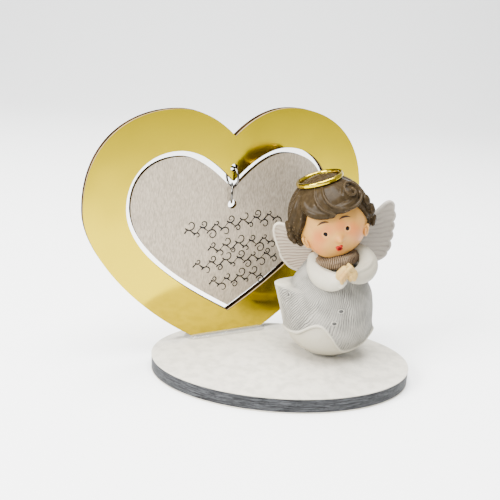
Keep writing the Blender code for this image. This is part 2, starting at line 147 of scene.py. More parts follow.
class Graph:
    """The node tree of one material, which ends in a Principled shader."""

    def __init__(self, name: str) -> None:
        """Starts a material.

        Args:
            name: the material's name.
        """
        self.material = bpy.data.materials.new(name)
        self.material.use_nodes = True
        self.tree = self.material.node_tree
        self.shader = self.tree.nodes["Principled BSDF"]

    def node(
        self, kind: str, settings: dict | None = None, sockets: dict | None = None, output: int | str = 0
    ) -> Value:
        """Adds a node.

        Args:
            kind: the node's type.
            settings: its properties, which are set before its sockets.
            sockets: numbers or linked values, by socket name or place.
            output: which of its outputs to return, by name or place.

        Returns:
            The chosen output.
        """
        made = self.tree.nodes.new(kind)
        for key, setting in (settings or {}).items():
            setattr(made, key, setting)
        for key, value in (sockets or {}).items():
            self.feed(made.inputs[key], value)
        return Value(self, made.outputs[output])

    def feed(self, socket: bpy.types.NodeSocket, value: "Value | float | Sequence[float]") -> None:
        """Links a value to a socket, or sets the socket to a number or colour.

        Args:
            socket: the socket to fill.
            value: a linked value, a number or a colour.
        """
        if isinstance(value, Value):
            self.tree.links.new(value.socket, socket)
        else:
            socket.default_value = value

    def math(self, operation: str, *values: "Value | float") -> Value:
        """A Math node on these values."""
        return self.node("ShaderNodeMath", {"operation": operation}, dict(enumerate(values)))

    def vector(self, operation: str, *values: "Value | Sequence[float]", output: int | str = 0) -> Value:
        """A Vector Math node on these values."""
        return self.node("ShaderNodeVectorMath", {"operation": operation}, dict(enumerate(values)), output)

    def place(self) -> Value:
        """The point on the piece, in metres, in the ornament's own axes."""
        return self.node("ShaderNodeTexCoord", output="Object")

    def along(self, direction: Sequence[float], start: Sequence[float] = (0, 0, 0)) -> Value:
        """How far the point lies from start along a direction, in millimetres."""
        away = self.vector("SUBTRACT", self.place(), tuple(start))
        return self.vector("DOT_PRODUCT", away, tuple(Vector(direction) / MM), output="Value")

    def reach(self, centre: Sequence[float]) -> Value:
        """How far the point lies from a centre, in millimetres."""
        return self.vector("DISTANCE", self.place(), tuple(centre), output="Value") * (1 / MM)

    def noise(self, scale: float, detail: float = 3, stretch: Sequence[float] = (1, 1, 1)) -> Value:
        """Cloudy noise around 0.5.

        Args:
            scale: how many clouds lie in a millimetre.
            detail: how many finer layers there are.
            stretch: the clouds' squeeze along each axis.

        Returns:
            The noise.
        """
        where = self.vector("MULTIPLY", self.place(), tuple(stretch))
        return self.node("ShaderNodeTexNoise", None, {"Vector": where, "Scale": scale / MM, "Detail": detail})

    def mix(self, low: "Value | Colour", high: "Value | Colour", share: Value) -> Value:
        """A colour between two colours.

        Args:
            low: the colour at 0.
            high: the colour at 1.
            share: where between them.

        Returns:
            The colour.
        """
        ends = [end if isinstance(end, Value) else (*end, 1) for end in (low, high)]
        sockets = {MIX_SHARE: share, MIX_LOW: ends[0], MIX_HIGH: ends[1]}
        return self.node("ShaderNodeMix", {"data_type": "RGBA"}, sockets, MIX_RESULT)

    def bump(self, height: Value, depth_mm: float) -> None:
        """Lets a height from 0 to 1 shape the surface, this many millimetres deep."""
        sockets = {"Height": height, "Distance": depth_mm * MM, "Strength": 1.0}
        self.paint("Normal", self.node("ShaderNodeBump", None, sockets))

    def paint(self, name: str, value: "Value | float | Sequence[float]") -> None:
        """Sets or links one of the shader's sockets."""
        self.feed(self.shader.inputs[name], value)


# ---------------------------------------------------------------- finishes


@dataclass(frozen=True)
class Finish:
    """A finish. Each kind adds its own detail to a Principled shader."""

    name: str
    colour: Colour
    roughness: float
    metallic: float = 0.0
    coat: float = 0.0
    gloss: float = 0.2

    def material(self) -> bpy.types.Material:
        """The material of this finish, made once.

        Returns:
            The material.
        """
        if self.name in MADE:
            return MADE[self.name]
        graph = Graph(self.name)
        graph.paint("Base Color", (*self.colour, 1))
        graph.paint("Roughness", self.roughness)
        graph.paint("Metallic", self.metallic)
        graph.paint("Coat Weight", self.coat)
        graph.paint("Specular IOR Level", self.gloss)
        graph.paint("Coat Roughness", 0.08)
        self.detail(graph)
        MADE[self.name] = graph.material
        return graph.material

    def tint(self, factor: float) -> Colour:
        """The finish's colour, darker or lighter by a factor."""
        return tuple(part * factor for part in self.colour)

    def detail(self, graph: Graph) -> None:
        """Adds what varies over the surface.

        Args:
            graph: the material's nodes.
        """
        raise NotImplementedError(self.name)


@dataclass(frozen=True)
class Melamine(Finish):
    """A pale board face with a fine pebbled grain and sparse specks."""

    speck: Colour = (0.30, 0.28, 0.24)

    def detail(self, graph: Graph) -> None:
        """Specks in the colour and pebbles in the surface.

        Args:
            graph: the material's nodes.
        """
        fine = graph.noise(3.2, 2)
        specks = fine.ramp(0.60, 0.70) * graph.noise(0.5, 1).ramp(0.40, 0.60)
        cloud = graph.mix(self.colour, self.tint(0.80), graph.noise(0.30, 5).ramp(0.38, 0.68))
        graph.paint("Base Color", graph.mix(cloud, self.speck, specks * 0.85))
        graph.paint("Roughness", self.roughness + 0.2 * (graph.noise(1.4) - 0.5))
        graph.bump(graph.noise(2.2, 4), 0.05)


@dataclass(frozen=True)
class FibreEdge(Finish):
    """A painted board edge, in which the pressed fibres show as dark streaks round the board."""

    streak: Colour = (0.006, 0.006, 0.0065)

    def detail(self, graph: Graph) -> None:
        """Level streaks, a scatter of pits, and grooves that follow them.

        Args:
            graph: the material's nodes.
        """
        layers = graph.noise(0.55, 5, (0.35, 0.35, 6.0))
        flecks = graph.noise(2.0, 3, (0.6, 0.6, 1.7))
        dark = layers.ramp(0.47, 0.62) * 0.6 + flecks.ramp(0.54, 0.70) * 0.45
        pale = graph.noise(1.0, 4, (0.3, 0.3, 3.0)).ramp(0.42, 0.62)
        base = graph.mix(self.colour, self.tint(1.9), pale)
        graph.paint("Base Color", graph.mix(base, self.streak, dark.ramp(-0.1, 0.9)))
        graph.paint("Roughness", self.roughness + 0.3 * (flecks - 0.5))
        graph.bump(flecks + 0.5 * layers, 0.16)


@dataclass(frozen=True)
class MirrorFilm(Finish):
    """A metal film behind clear sheet, darkened towards the top by painted shade, with hazy patches."""

    unshaded_below: float = 35.0
    fully_shaded_above: float = 84.0

    def detail(self, graph: Graph) -> None:
        """Haze in the gloss, painted shade that darkens the colour towards the top with a faint mottle, and a
        slow waviness that bends reflections.

        Args:
            graph: the material's nodes.
        """
        haze = graph.noise(0.05, 3)
        graph.paint("Roughness", self.roughness + 0.09 * haze.ramp(0.4, 0.75))
        # painted shade: the colour is darkened towards the top of the heart, plus a faint random mottle
        climb = graph.along((0, 0, 1)).ramp(self.unshaded_below, self.fully_shaded_above)
        painted_shade_and_mottle = climb * 0.8 + graph.noise(0.03, 2).ramp(0.4, 0.7) * 0.25
        graph.paint("Base Color", graph.mix(self.colour, self.tint(0.52), painted_shade_and_mottle.ramp(0.0, 1.0)))
        graph.bump(graph.noise(0.035, 1), 0.10)


@dataclass(frozen=True)
class BrushedFilm(Finish):
    """A brushed metal film with a fine upright grain."""

    def detail(self, graph: Graph) -> None:
        """Long hairs of grain, over a faint mottle.

        Args:
            graph: the material's nodes.
        """
        hairs = graph.noise(4.6, 3, (1.0, 1.0, 0.16))
        coarse = graph.noise(1.9, 4, (1.0, 1.0, 0.30))
        mottle = graph.noise(0.09, 3)
        grain = hairs * 0.6 + coarse * 0.4
        dark = self.tint(0.66)
        shade = graph.mix(dark, self.tint(1.22), grain.ramp(0.34, 0.66))
        graph.paint("Base Color", graph.mix(shade, dark, mottle.ramp(0.45, 0.85) * 0.25))
        graph.paint("Roughness", self.roughness + 0.35 * (grain - 0.5))
        graph.bump(grain, 0.03)


@dataclass(frozen=True)
class CutEdge(Finish):
    """The laser-cut edge of a sheet: scorched, with a paler line painted where the light comes through."""

    start: Colour = (0.0, 0.0, 0.0)
    facing: Colour = (0.0, -1.0, 0.0)
    glow: Colour = (0.45, 0.36, 0.2)
    glow_at: float = 0.6
    glow_wide: float = 0.45

    def detail(self, graph: Graph) -> None:
        """A painted line of light at one depth in the sheet, and scorch marks along the cut.

        Args:
            graph: the material's nodes.
        """
        depth = graph.along(self.facing, self.start)
        # painted light: a pale line where light shows through the edge of the sheet
        line = (depth - self.glow_at).size().ramp(self.glow_wide, self.glow_wide * 0.3)
        scorch = graph.noise(0.16, 4)
        burnt = graph.mix(self.colour, self.tint(0.35), scorch.ramp(0.35, 0.6))
        graph.paint("Base Color", graph.mix(burnt, self.glow, line * (1 - 0.5 * scorch)))
        graph.paint("Roughness", self.roughness + 0.25 * (scorch - 0.5))
        graph.bump(graph.noise(0.9, 2), 0.04)


@dataclass(frozen=True)
class Plating(Finish):
    """Bright plated wire, rubbed dull in places."""

    def detail(self, graph: Graph) -> None:
        """Dull patches, and a faint waviness.

        Args:
            graph: the material's nodes.
        """
        rub = graph.noise(0.7, 3)
        graph.paint("Roughness", self.roughness + 0.18 * rub.ramp(0.5, 0.75))
        graph.paint("Base Color", graph.mix(self.colour, self.tint(0.75), rub.ramp(0.55, 0.8)))
        graph.bump(graph.noise(2.5, 2), 0.012)


@dataclass(frozen=True)
class SetGlue(Finish):
    """Clear set glue."""

    clearness: float = 0.3
    cover: float = 0.30
    bending: float = 1.45

    def detail(self, graph: Graph) -> None:
        """A wavy skin over a see-through body.

        Args:
            graph: the material's nodes.
        """
        graph.paint("Transmission Weight", self.clearness)
        graph.paint("Alpha", self.cover)
        graph.paint("IOR", self.bending)
        graph.paint("Roughness", self.roughness + 0.2 * graph.noise(0.9, 3).ramp(0.55, 0.7))
        graph.bump(graph.noise(0.5, 2), 0.25)


@dataclass(frozen=True)
class Resin(Finish):
    """Smooth cast resin with a faint wash left in its hollows."""

    wash: Colour = (0.26, 0.225, 0.165)
    amount: float = 0.35

    def detail(self, graph: Graph) -> None:
        """A patchy wash and the fine tooth of the casting.

        Args:
            graph: the material's nodes.
        """
        patches = graph.noise(0.22, 4).ramp(0.5, 0.8)
        graph.paint("Base Color", graph.mix(self.colour, self.wash, patches * self.amount))
        graph.paint("Roughness", self.roughness + 0.2 * (graph.noise(0.8, 3) - 0.5))
        graph.bump(graph.noise(1.1, 3), 0.035)


@dataclass(frozen=True)
class CarvedResin(Resin):
    """Cast resin with fine carved grooves that hold a wash and fade at the piece's rims."""

    pitch_depth: float = 0.16
    clean: Colour = (0.40, 0.37, 0.29)

    def grooves(self, graph: Graph) -> Value:
        """The height of the carving from 0 in a groove to 1 between two grooves.

        Args:
            graph: the material's nodes.

        Returns:
            The height.
        """
        raise NotImplementedError(self.name)

    def detail(self, graph: Graph) -> None:
        """Grooves in the surface with a wash in them, and clean rims.

        Args:
            graph: the material's nodes.
        """
        rim = graph.node("ShaderNodeAttribute", {"attribute_name": "rim"}, output="Fac")
        strength = (1 - rim) * (0.45 + 0.55 * graph.noise(0.12, 3).ramp(0.3, 0.6))
        height = self.grooves(graph)
        hollow = (1 - height) * strength
        patches = graph.noise(0.16, 4).ramp(0.42, 0.75) * 0.35
        stain = (hollow + patches * (1 - rim)) * self.amount
        washed = graph.mix(self.colour, self.wash, stain.ramp(0.0, 1.0))
        graph.paint("Base Color", graph.mix(washed, self.clean, rim * 0.9))
        graph.paint("Roughness", self.roughness + 0.15 * (graph.noise(0.8, 3) - 0.5))
        graph.bump(1 - hollow + 0.12 * graph.noise(1.2, 3), self.pitch_depth)


@dataclass(frozen=True)
class RobeResin(CarvedResin):
    """Resin with grooves that hang from the waist and curve as they fall."""

    foot: Colour = (0.0, 0.0, 0.0)
    count: int = 118

    def grooves(self, graph: Graph) -> Value:
        """Uneven grooves round an upright axis, which sweep to the angel's right as they fall.

        Args:
            graph: the material's nodes.

        Returns:
            The height, from 0 in a groove to 1 between two.
        """
        across = graph.along((1, 0, 0), self.foot)
        ahead = graph.along((0, -1, 0), self.foot)
        rise = graph.along((0, 0, 1), self.foot)
        turn = graph.math("ARCTAN2", across, ahead)
        lean = (26 - rise) * (0.006 + 0.036 * turn.ramp(0.7, -0.9))
        drift = (graph.noise(0.13, 3) - 0.5) * 0.20
        coarse = ((turn + lean + drift) * self.count).sine()
        fine = ((turn + lean + drift * 1.6) * (1.9 * self.count)).sine()
        return (0.5 + 0.26 * coarse + 0.24 * fine).ramp(0.10, 0.74)


@dataclass(frozen=True)
class WingResin(CarvedResin):
    """Resin with grooves along the feathers, spreading like a fan from a root."""

    root: Colour = (0.0, 0.0, 0.0)
    per_radian: float = 60.0

    def grooves(self, graph: Graph) -> Value:
        """Grooves that run out from a far point behind the wing's root.

        Args:
            graph: the material's nodes.

        Returns:
            The height, from 0 in a groove to 1 between two.
        """
        across = graph.along((1, 0, 0), self.root)
        rise = graph.along((0, 0, 1), self.root)
        drift = (graph.noise(0.2, 2) - 0.5) * 0.05
        angle = graph.math("ARCTAN2", rise, across.size() + 12) + drift
        coarse = (angle * self.per_radian).sine()
        return (0.5 + 0.5 * coarse).ramp(0.1, 0.7)


@dataclass(frozen=True)
class PleatResin(CarvedResin):
    """Resin with narrow pleats round the neck."""

    neck: Colour = (0.0, 0.0, 0.0)
    count: int = 62

    def grooves(self, graph: Graph) -> Value:
        """Pleats round the neck's axis.

        Args:
            graph: the material's nodes.

        Returns:
            The height, from 0 in a groove to 1 between two.
        """
        across = graph.along((1, 0, 0), self.neck)
        ahead = graph.along((0, -1, 0), self.neck)
        turn = graph.math("ARCTAN2", across, ahead)
        drift = (graph.noise(0.3, 3) - 0.5) * 0.10
        return (0.5 + 0.5 * ((turn + drift) * self.count).sine()).ramp(0.05, 0.8)


@dataclass(frozen=True)
class Spot:
    """A soft patch of colour on a painted face."""

    centre: Colour
    radius: float
    colour: Colour
    strength: float


@dataclass(frozen=True)
class SkinPaint(Finish):
    """Satin skin paint, blushed by soft sprayed spots."""

    spots: tuple[Spot, ...] = ()

    def detail(self, graph: Graph) -> None:
        """Blends each spot in turn over the base, with a faint mottle.

        Args:
            graph: the material's nodes.
        """
        shade = graph.mix(self.colour, self.tint(0.93), graph.noise(0.3, 3).ramp(0.4, 0.7))
        for spot in self.spots:
            share = graph.reach(spot.centre).ramp(spot.radius, spot.radius * 0.15) * spot.strength
            shade = graph.mix(shade, spot.colour, share)
        graph.paint("Base Color", shade)
        graph.paint("Roughness", self.roughness + 0.15 * (graph.noise(0.9, 3) - 0.5))
        graph.bump(graph.noise(1.3, 3), 0.02)


@dataclass(frozen=True)
class HairPaint(Finish):
    """Glossy hair paint, worn paler on the raised strands, with painted shade in the hollows between them."""

    worn: Colour = (0.080, 0.055, 0.031)

    def detail(self, graph: Graph) -> None:
        """Pale ridges, painted shade in the hollows, and fine combed lines.

        Args:
            graph: the material's nodes.
        """
        edge = graph.node("ShaderNodeNewGeometry", output="Pointiness")
        raised = edge.ramp(0.515, 0.585)
        # painted shade: the hollows between the strands are darkened where shade falls
        painted_hollow_shade = edge.ramp(0.487, 0.44)
        combed = graph.noise(0.8, 4, (1.0, 1.0, 0.5))
        base = graph.mix(self.colour, self.tint(1.35), combed.ramp(0.4, 0.68))
        lit = graph.mix(base, self.worn, raised * 0.75)
        graph.paint("Base Color", graph.mix(lit, self.tint(0.3), painted_hollow_shade * 0.85))
        graph.paint("Roughness", self.roughness + 0.16 * (combed - 0.5))
        graph.bump(combed, 0.05)


@dataclass(frozen=True)
class GoldPaint(Finish):
    """Bright gold paint with brush streaks."""

    def detail(self, graph: Graph) -> None:
        """Streaks in the gloss and in the colour.

        Args:
            graph: the material's nodes.
        """
        streaks = graph.noise(0.7, 4, (1.0, 1.0, 3.0))
        graph.paint("Base Color", graph.mix(self.tint(0.45), self.colour, streaks.ramp(0.3, 0.5)))
        graph.paint("Roughness", self.roughness + 0.25 * (streaks - 0.5))
        graph.bump(streaks, 0.03)


@dataclass(frozen=True)
class PlainPaint(Finish):
    """A dab of paint or ink."""

    def detail(self, graph: Graph) -> None:
        """Slightly uneven colour and gloss.

        Args:
            graph: the material's nodes.
        """
        uneven = graph.noise(1.2, 3)
        graph.paint("Base Color", graph.mix(self.colour, self.tint(0.7), uneven.ramp(0.4, 0.7)))
        graph.paint("Roughness", self.roughness + 0.2 * (uneven - 0.5))


CLEAR_GLUE = SetGlue("glue_clear", (0.60, 0.585, 0.53), 0.12, gloss=0.5)
PLAIN_RESIN = Resin("resin_plain", (0.37, 0.34, 0.265), 0.45)


# ---------------------------------------------------------------- mesh helpers


def put_in_scene(name: str, data: bpy.types.ID) -> bpy.types.Object:
    """Makes an object of a mesh, a light or a camera and links it to the scene.

    Args:
        name: the object's name.
        data: what it shows.

    Returns:
        The object.
    """
    made = bpy.data.objects.new(name, data)
    bpy.context.scene.collection.objects.link(made)
    return made


def shift(bm: bmesh.types.BMesh, by: Sequence[float]) -> None:
    """Moves a whole bmesh."""
    bmesh.ops.translate(bm, verts=bm.verts[:], vec=by)


def carry(bm: bmesh.types.BMesh, matrix: Matrix) -> None:
    """Puts a whole bmesh through a matrix."""
    bmesh.ops.transform(bm, matrix=matrix, verts=bm.verts[:])


def add_piece(
    name: str,
    bm: bmesh.types.BMesh,
    finishes: Sequence[Finish],
    body: Body,
    stands_for: Sequence[str] = (),
    sharp: float = 40,
) -> bpy.types.Object:
    """Turns a bmesh into a finished piece that rides on a body.

    Args:
        name: the piece's name.
        bm: its shape, in place. It is freed.
        finishes: its finishes, by material index.
        body: what it moves with.
        stands_for: the frame's nodes that it is shown in place of.
        sharp: the angle in degrees past which an edge is crisp.

    Returns:
        The object.
    """
    bmesh.ops.recalc_face_normals(bm, faces=bm.faces[:])
    mesh = bpy.data.meshes.new(name)
    bm.to_mesh(mesh)
    bm.free()
    mesh.shade_smooth()
    mesh.set_sharp_from_angle(angle=math.radians(sharp))
    for finish in finishes:
        mesh.materials.append(finish.material())
    piece = put_in_scene(name, mesh)
    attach(piece, body.value)
    if stands_for:
        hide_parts(*stands_for)
    LOG.info("%s: %d faces", name, len(mesh.polygons))
    return piece


def rise(value: float, low: float, high: float) -> float:
    """A smooth step from 0 at low to 1 at high."""
    share = min(1.0, max(0.0, (value - low) / (high - low)))
    return share * share * (3 - 2 * share)


def hump(value: float, centre: float, width: float) -> float:
    """A bell that is 1 at its centre."""
    return math.exp(-(((value - centre) / width) ** 2))


def through(knots: Sequence[Flat], value: float) -> float:
    """A smooth curve through (place, height) knots, read at one place.

    Args:
        knots: the knots, in order of place.
        value: where to read.

    Returns:
        The height there, held at the ends.
    """
    if value <= knots[0][0]:
        return knots[0][1]
    if value >= knots[-1][0]:
        return knots[-1][1]
    last = len(knots) - 1
    slopes = []
    for i in range(last + 1):
        (x0, y0), (x1, y1) = knots[max(i - 1, 0)], knots[min(i + 1, last)]
        slopes.append((y1 - y0) / (x1 - x0))
    i = next(i for i in range(last) if value <= knots[i + 1][0])
    (x0, y0), (x1, y1) = knots[i], knots[i + 1]
    t = (value - x0) / (x1 - x0)
    start = y0 * (1 + 2 * t) + slopes[i] * (x1 - x0) * t
    end = y1 * (3 - 2 * t) - slopes[i + 1] * (x1 - x0) * (1 - t)
    return start * (1 - t) ** 2 + end * t * t


def smooth_path(knots: Sequence[Sequence[float]], steps: int) -> list[Vector]:
    """An open smooth path through knots of any size.

    Args:
        knots: the points to pass through.
        steps: how many points each stretch gets.

    Returns:
        The path's points, its end included.
    """
    ends = [Vector(k) for k in knots]
    ends = [ends[0] * 2 - ends[1], *ends, ends[-1] * 2 - ends[-2]]
    points = []
    for before, here, there, after in zip(ends, ends[1:], ends[2:], ends[3:]):
        for step in range(steps):
            t = step / steps
            slope = (there - before) * t
            bend = (2 * before - 5 * here + 4 * there - after) * t * t
            twist = (3 * here - before - 3 * there + after) * t * t * t
            points.append((2 * here + slope + bend + twist) / 2)
    return [*points, ends[-2]]


def bezier(start: Flat, leave: Flat, arrive: Flat, end: Flat, steps: int) -> list[Flat]:
    """Points of a cubic from start up to, but not including, its end.

    Args:
        start: where it starts.
        leave: the handle that it leaves by.
        arrive: the handle that it arrives by.
        end: where it ends.
        steps: how many points it gets.

    Returns:
        The points.
    """
    points = []
    for step in range(steps):
        t = step / steps
        s = 1 - t
        blend = (s * s * s, 3 * s * s * t, 3 * s * t * t, t * t * t)
        points.append(tuple(sum(w * p[i] for w, p in zip(blend, (start, leave, arrive, end))) for i in (0, 1)))
    return points


def ring_edges(ring: Sequence[bmesh.types.BMVert]) -> list[bmesh.types.BMEdge]:
    """The edges that join the verts of one ring."""
    members = set(ring)
    return list({e for v in ring for e in v.link_edges if e.other_vert(v) in members})


def merge_into(target: bmesh.types.BMesh, source: bmesh.types.BMesh) -> None:
    """Adds one bmesh to another and frees it.

    Args:
        target: what it is added to.
        source: what is added. It is freed.
    """
    mesh = bpy.data.meshes.new("passing")
    source.to_mesh(mesh)
    source.free()
    target.from_mesh(mesh)
    bpy.data.meshes.remove(mesh)


def sweep(bm: bmesh.types.BMesh, path: Sequence[Vector], radii: Sequence[float], sides: int = 14) -> None:
    """Adds a round tapering rope with domed ends.

    Args:
        bm: where it is added.
        path: its centreline.
        radii: its radius at each point of the path.
        sides: how many faces go round it.
    """
    starts = (path[1] - path[0]).normalized()
    ends = (path[-1] - path[-2]).normalized()
    dome = ((0.92, 0.38), (0.70, 0.71), (0.35, 0.92))
    places = [path[0] - starts * radii[0] * out for _, out in reversed(dome)]
    places += [*path, *(path[-1] + ends * radii[-1] * out for _, out in dome)]
    widths = [radii[0] * wide for wide, _ in reversed(dome)] + [*radii] + [radii[-1] * wide for wide, _ in dome]
    side = starts.orthogonal().normalized()
    tube = bmesh.new()
    rings = []
    for i, (place, width) in enumerate(zip(places, widths)):
        ahead = (places[min(i + 1, len(places) - 1)] - places[max(i - 1, 0)]).normalized()
        side = (side - ahead * side.dot(ahead)).normalized()
        turn = Matrix((side, ahead.cross(side), ahead)).transposed().to_4x4()
        where = Matrix.Translation(place) @ turn
        rings.append(bmesh.ops.create_circle(tube, radius=width, segments=sides, matrix=where)["verts"])
    for near, far in zip(rings, rings[1:]):
        bmesh.ops.bridge_loops(tube, edges=ring_edges(near) + ring_edges(far))
    for ring in (rings[0], rings[-1]):
        bmesh.ops.contextual_create(tube, geom=ring_edges(ring))
    merge_into(bm, tube)


def rope(bm: bmesh.types.BMesh, knots: Sequence[Sequence[float]], steps: int = 6, sides: int = 14) -> None:
    """Adds a rope through (x, y, z, radius) knots in metres."""
    path = smooth_path(knots, steps)
    sweep(bm, [Vector(p[:3]) for p in path], [p[3] for p in path], sides)


def fused(bm: bmesh.types.BMesh, voxel: float, smoothing: int = 2) -> bmesh.types.BMesh:
    """Melts overlapping shapes into one skin.

    Args:
        bm: the shapes. It is freed.
        voxel: the size of the finest detail that is kept.
        smoothing: how many times the skin is relaxed.

    Returns:
        The skin.
    """
    mesh = bpy.data.meshes.new("melting")
    bmesh.ops.recalc_face_normals(bm, faces=bm.faces[:])
    bm.to_mesh(mesh)
    bm.free()
    lump = put_in_scene("melting", mesh)
    melt = lump.modifiers.new("melt", "REMESH")
    melt.mode = "VOXEL"
    melt.voxel_size = voxel
    bpy.context.view_layer.update()
    melted = lump.evaluated_get(bpy.context.evaluated_depsgraph_get()).to_mesh()
    skin = bmesh.new()
    skin.from_mesh(melted)
    bpy.data.objects.remove(lump, do_unlink=True)
    bpy.data.meshes.remove(mesh)
    for _ in range(smoothing):
        bmesh.ops.smooth_vert(
            skin, verts=skin.verts[:], factor=0.5, use_axis_x=True, use_axis_y=True, use_axis_z=True
        )
    return skin


def turned(profile: Sequence[Flat], segments: int) -> bmesh.types.BMesh:
    """A closed solid turned about Z from (radius, height) points that start and end on the axis.

    Args:
        profile: the points, from axis to axis.
        segments: how many steps go round it.

    Returns:
        The solid.
    """
    bm = bmesh.new()
    verts = [bm.verts.new((radius, 0, height)) for radius, height in profile]
    edges = [bm.edges.new(pair) for pair in zip(verts, verts[1:])]
    bmesh.ops.spin(
        bm, geom=verts + edges, cent=(0, 0, 0), axis=(0, 0, 1), angle=math.tau, steps=segments, use_merge=True
    )
    bmesh.ops.remove_doubles(bm, verts=bm.verts[:], dist=0.002 * MM)
    return bm


def wire_ring(radius: float, section: Sequence[Flat], segments: int, gap: float = 0.0) -> bmesh.types.BMesh:
    """A ring about Z with this section.

    Args:
        radius: from the axis to the section's origin.
        section: the section's outline as (outward, upward) offsets.
        segments: how many steps go round it.
        gap: the angle left open, in radians.

    Returns:
        The ring.
    """
    bm = bmesh.new()
    verts = [bm.verts.new((radius + out, 0, up)) for out, up in section]
    face = bm.faces.new(verts)
    if gap:
        geom = [face, *face.edges, *verts]
    else:
        geom = [*verts, *face.edges]
        bmesh.ops.delete(bm, geom=[face], context="FACES_ONLY")
    bmesh.ops.spin(
        bm, geom=geom, cent=(0, 0, 0), axis=(0, 0, 1), angle=math.tau - gap, steps=segments, use_merge=not gap
    )
    bmesh.ops.remove_doubles(bm, verts=bm.verts[:], dist=0.001 * MM)
    return bm


def round_section(radius: float, sides: int) -> list[Flat]:
    """A circle's outline."""
    return [(radius * math.cos(a), radius * math.sin(a)) for a in (math.tau * i / sides for i in range(sides))]


def soft_section(corners: Sequence[Flat], steps: int) -> list[Flat]:
    """A closed section in metres, smooth through corners that are given in millimetres."""
    path = smooth_path([(*corner, 0) for corner in [*corners, corners[0]]], steps)
    return [(p.x * MM, p.y * MM) for p in path[:-1]]


def bore(hole: Flat) -> list[Flat]:
    """The outline of a hole on a heart's midline, from its height and radius."""
    return [(x, z + hole[0]) for x, z in round_section(hole[1], BORE_SIDES)]


def thicken(bm: bmesh.types.BMesh, thickness: float) -> None:
    """Makes a flat shape in the XZ plane a closed plate, towards +Y.

    Args:
        bm: the flat shape.
        thickness: through the plate.
    """
    made = bmesh.ops.extrude_face_region(bm, geom=bm.faces[:], use_keep_orig=True)
    moved = [v for v in made["geom"] if isinstance(v, bmesh.types.BMVert)]
    bmesh.ops.translate(bm, verts=moved, vec=(0, thickness, 0))
    bmesh.ops.recalc_face_normals(bm, faces=bm.faces[:])


def sheet(outlines: Sequence[Sequence[Flat]], thickness: float) -> bmesh.types.BMesh:
    """A plate in the XZ plane, centred on Y = 0.

    Args:
        outlines: its outer edge, then the edges of its openings.
        thickness: through the plate.

    Returns:
        The plate. Its cut edges have material index 1 and its faces 0.
    """
    bm = bmesh.new()
    for outline in outlines:
        verts = [bm.verts.new((x, -thickness / 2, z)) for x, z in outline]
        for pair in zip(verts, [*verts[1:], verts[0]]):
            bm.edges.new(pair)
    bmesh.ops.triangle_fill(bm, edges=bm.edges[:], use_beauty=True, normal=(0, -1, 0))
    thicken(bm, thickness)
    for face in bm.faces:
        face.material_index = 0 if abs(face.normal.y) > 0.5 else 1
    return bm


@dataclass(frozen=True)
class Egg:
    """An ellipsoid on which places are given by longitude from the front and latitude, in degrees."""

    centre: Vector
    radii: Vector
    turn: Matrix

    def point(self, east: float, north: float, lift: float = 0.0) -> Vector:
        """The point at a longitude and latitude, lifted off the surface by this many metres."""
        spot = self.centre + self.turn @ (self.local(east, north) * self.radii)
        return spot + self.facing(east, north) * lift

    def local(self, east: float, north: float) -> Vector:
        """The direction of a longitude and latitude in the egg's own axes."""
        a, b = math.radians(east), math.radians(north)
        return Vector((math.cos(b) * math.sin(a), -math.cos(b) * math.cos(a), math.sin(b)))

    def facing(self, east: float, north: float) -> Vector:
        """The outward normal at a longitude and latitude."""
        spread = self.local(east, north)
        return (self.turn @ Vector(s / r for s, r in zip(spread, self.radii))).normalized()

    def frame(self, east: float, north: float, lift: float = 0.0) -> Matrix:
        """Axes on the surface: X to the east, Y inwards and Z to the north.

        Args:
            east: longitude in degrees.
            north: latitude in degrees.
            lift: how far off the surface.

        Returns:
            The axes' place.
        """
        out = self.facing(east, north)
        right = (self.point(east + 1, north) - self.point(east - 1, north)).normalized()
        axes = Matrix((right, -out, right.cross(-out))).transposed().to_4x4()
        return Matrix.Translation(self.point(east, north, lift)) @ axes

    def angles(self, direction: Vector) -> Flat:
        """The longitude and latitude of a direction in the egg's own axes."""
        flat = direction.normalized()
        return math.degrees(math.atan2(flat.x, -flat.y)), math.degrees(math.asin(max(-1.0, min(1.0, flat.z))))


# ---------------------------------------------------------------- the board


@dataclass
class Board:
    """The oval board with its two thin faces and its painted fibre edge."""

    face: Melamine = Melamine("melamine_face", (0.50, 0.468, 0.395), 0.5)
    fibre: FibreEdge = FibreEdge("fibre_edge", (0.026, 0.0268, 0.0285), 0.5, gloss=0.1)
    segments: int = 160
    easing: float = 0.22 * MM
    core_shy: float = 0.16 * MM

    def disc(self, low: float, high: float, size: Vector) -> bmesh.types.BMesh:
        """An upright oval disc with eased rims.

        Args:
            low: its underside's height.
            high: its top's height.
            size: its length and width.

        Returns:
            The disc.
        """
        bm = bmesh.new()
        bmesh.ops.create_cone(
            bm, cap_ends=True, segments=self.segments, radius1=0.5, radius2=0.5, depth=high - low
        )
        bmesh.ops.scale(bm, vec=(size.x, size.y, 1), verts=bm.verts[:])
        shift(bm, (0, 0, (low + high) / 2))
        rims = [e for e in bm.edges if abs(e.verts[0].co.z - e.verts[1].co.z) < 0.01 * MM]
        ease = min(self.easing, 0.35 * (high - low))
        bmesh.ops.bevel(bm, geom=rims, offset=ease, segments=2, profile=0.5, affect="EDGES", material=-1)
        return bm

    def build(self) -> None:
        """Makes the two faces and the core between them, which meet with no gap."""
        bottom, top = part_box("board_bottom_skin"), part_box("board_top_skin")
        size = top[1] - top[0]
        core = size - Vector((self.core_shy, self.core_shy, 0))
        for name, low, high, extent, finish, node, slot in (
            ("board_face_upper", top[0].z, top[1].z, size, self.face, "board_top_skin", "melamine"),
            ("board_fibre_core", bottom[1].z, top[0].z, core, self.fibre, "board_core", "board_edge"),
            ("board_face_lower", bottom[0].z, bottom[1].z, size, self.face, "board_bottom_skin", "melamine"),
        ):
            add_piece(name, self.disc(low, high, extent), [finish], Body.STAND, [node])


# ---------------------------------------------------------------- the hearts


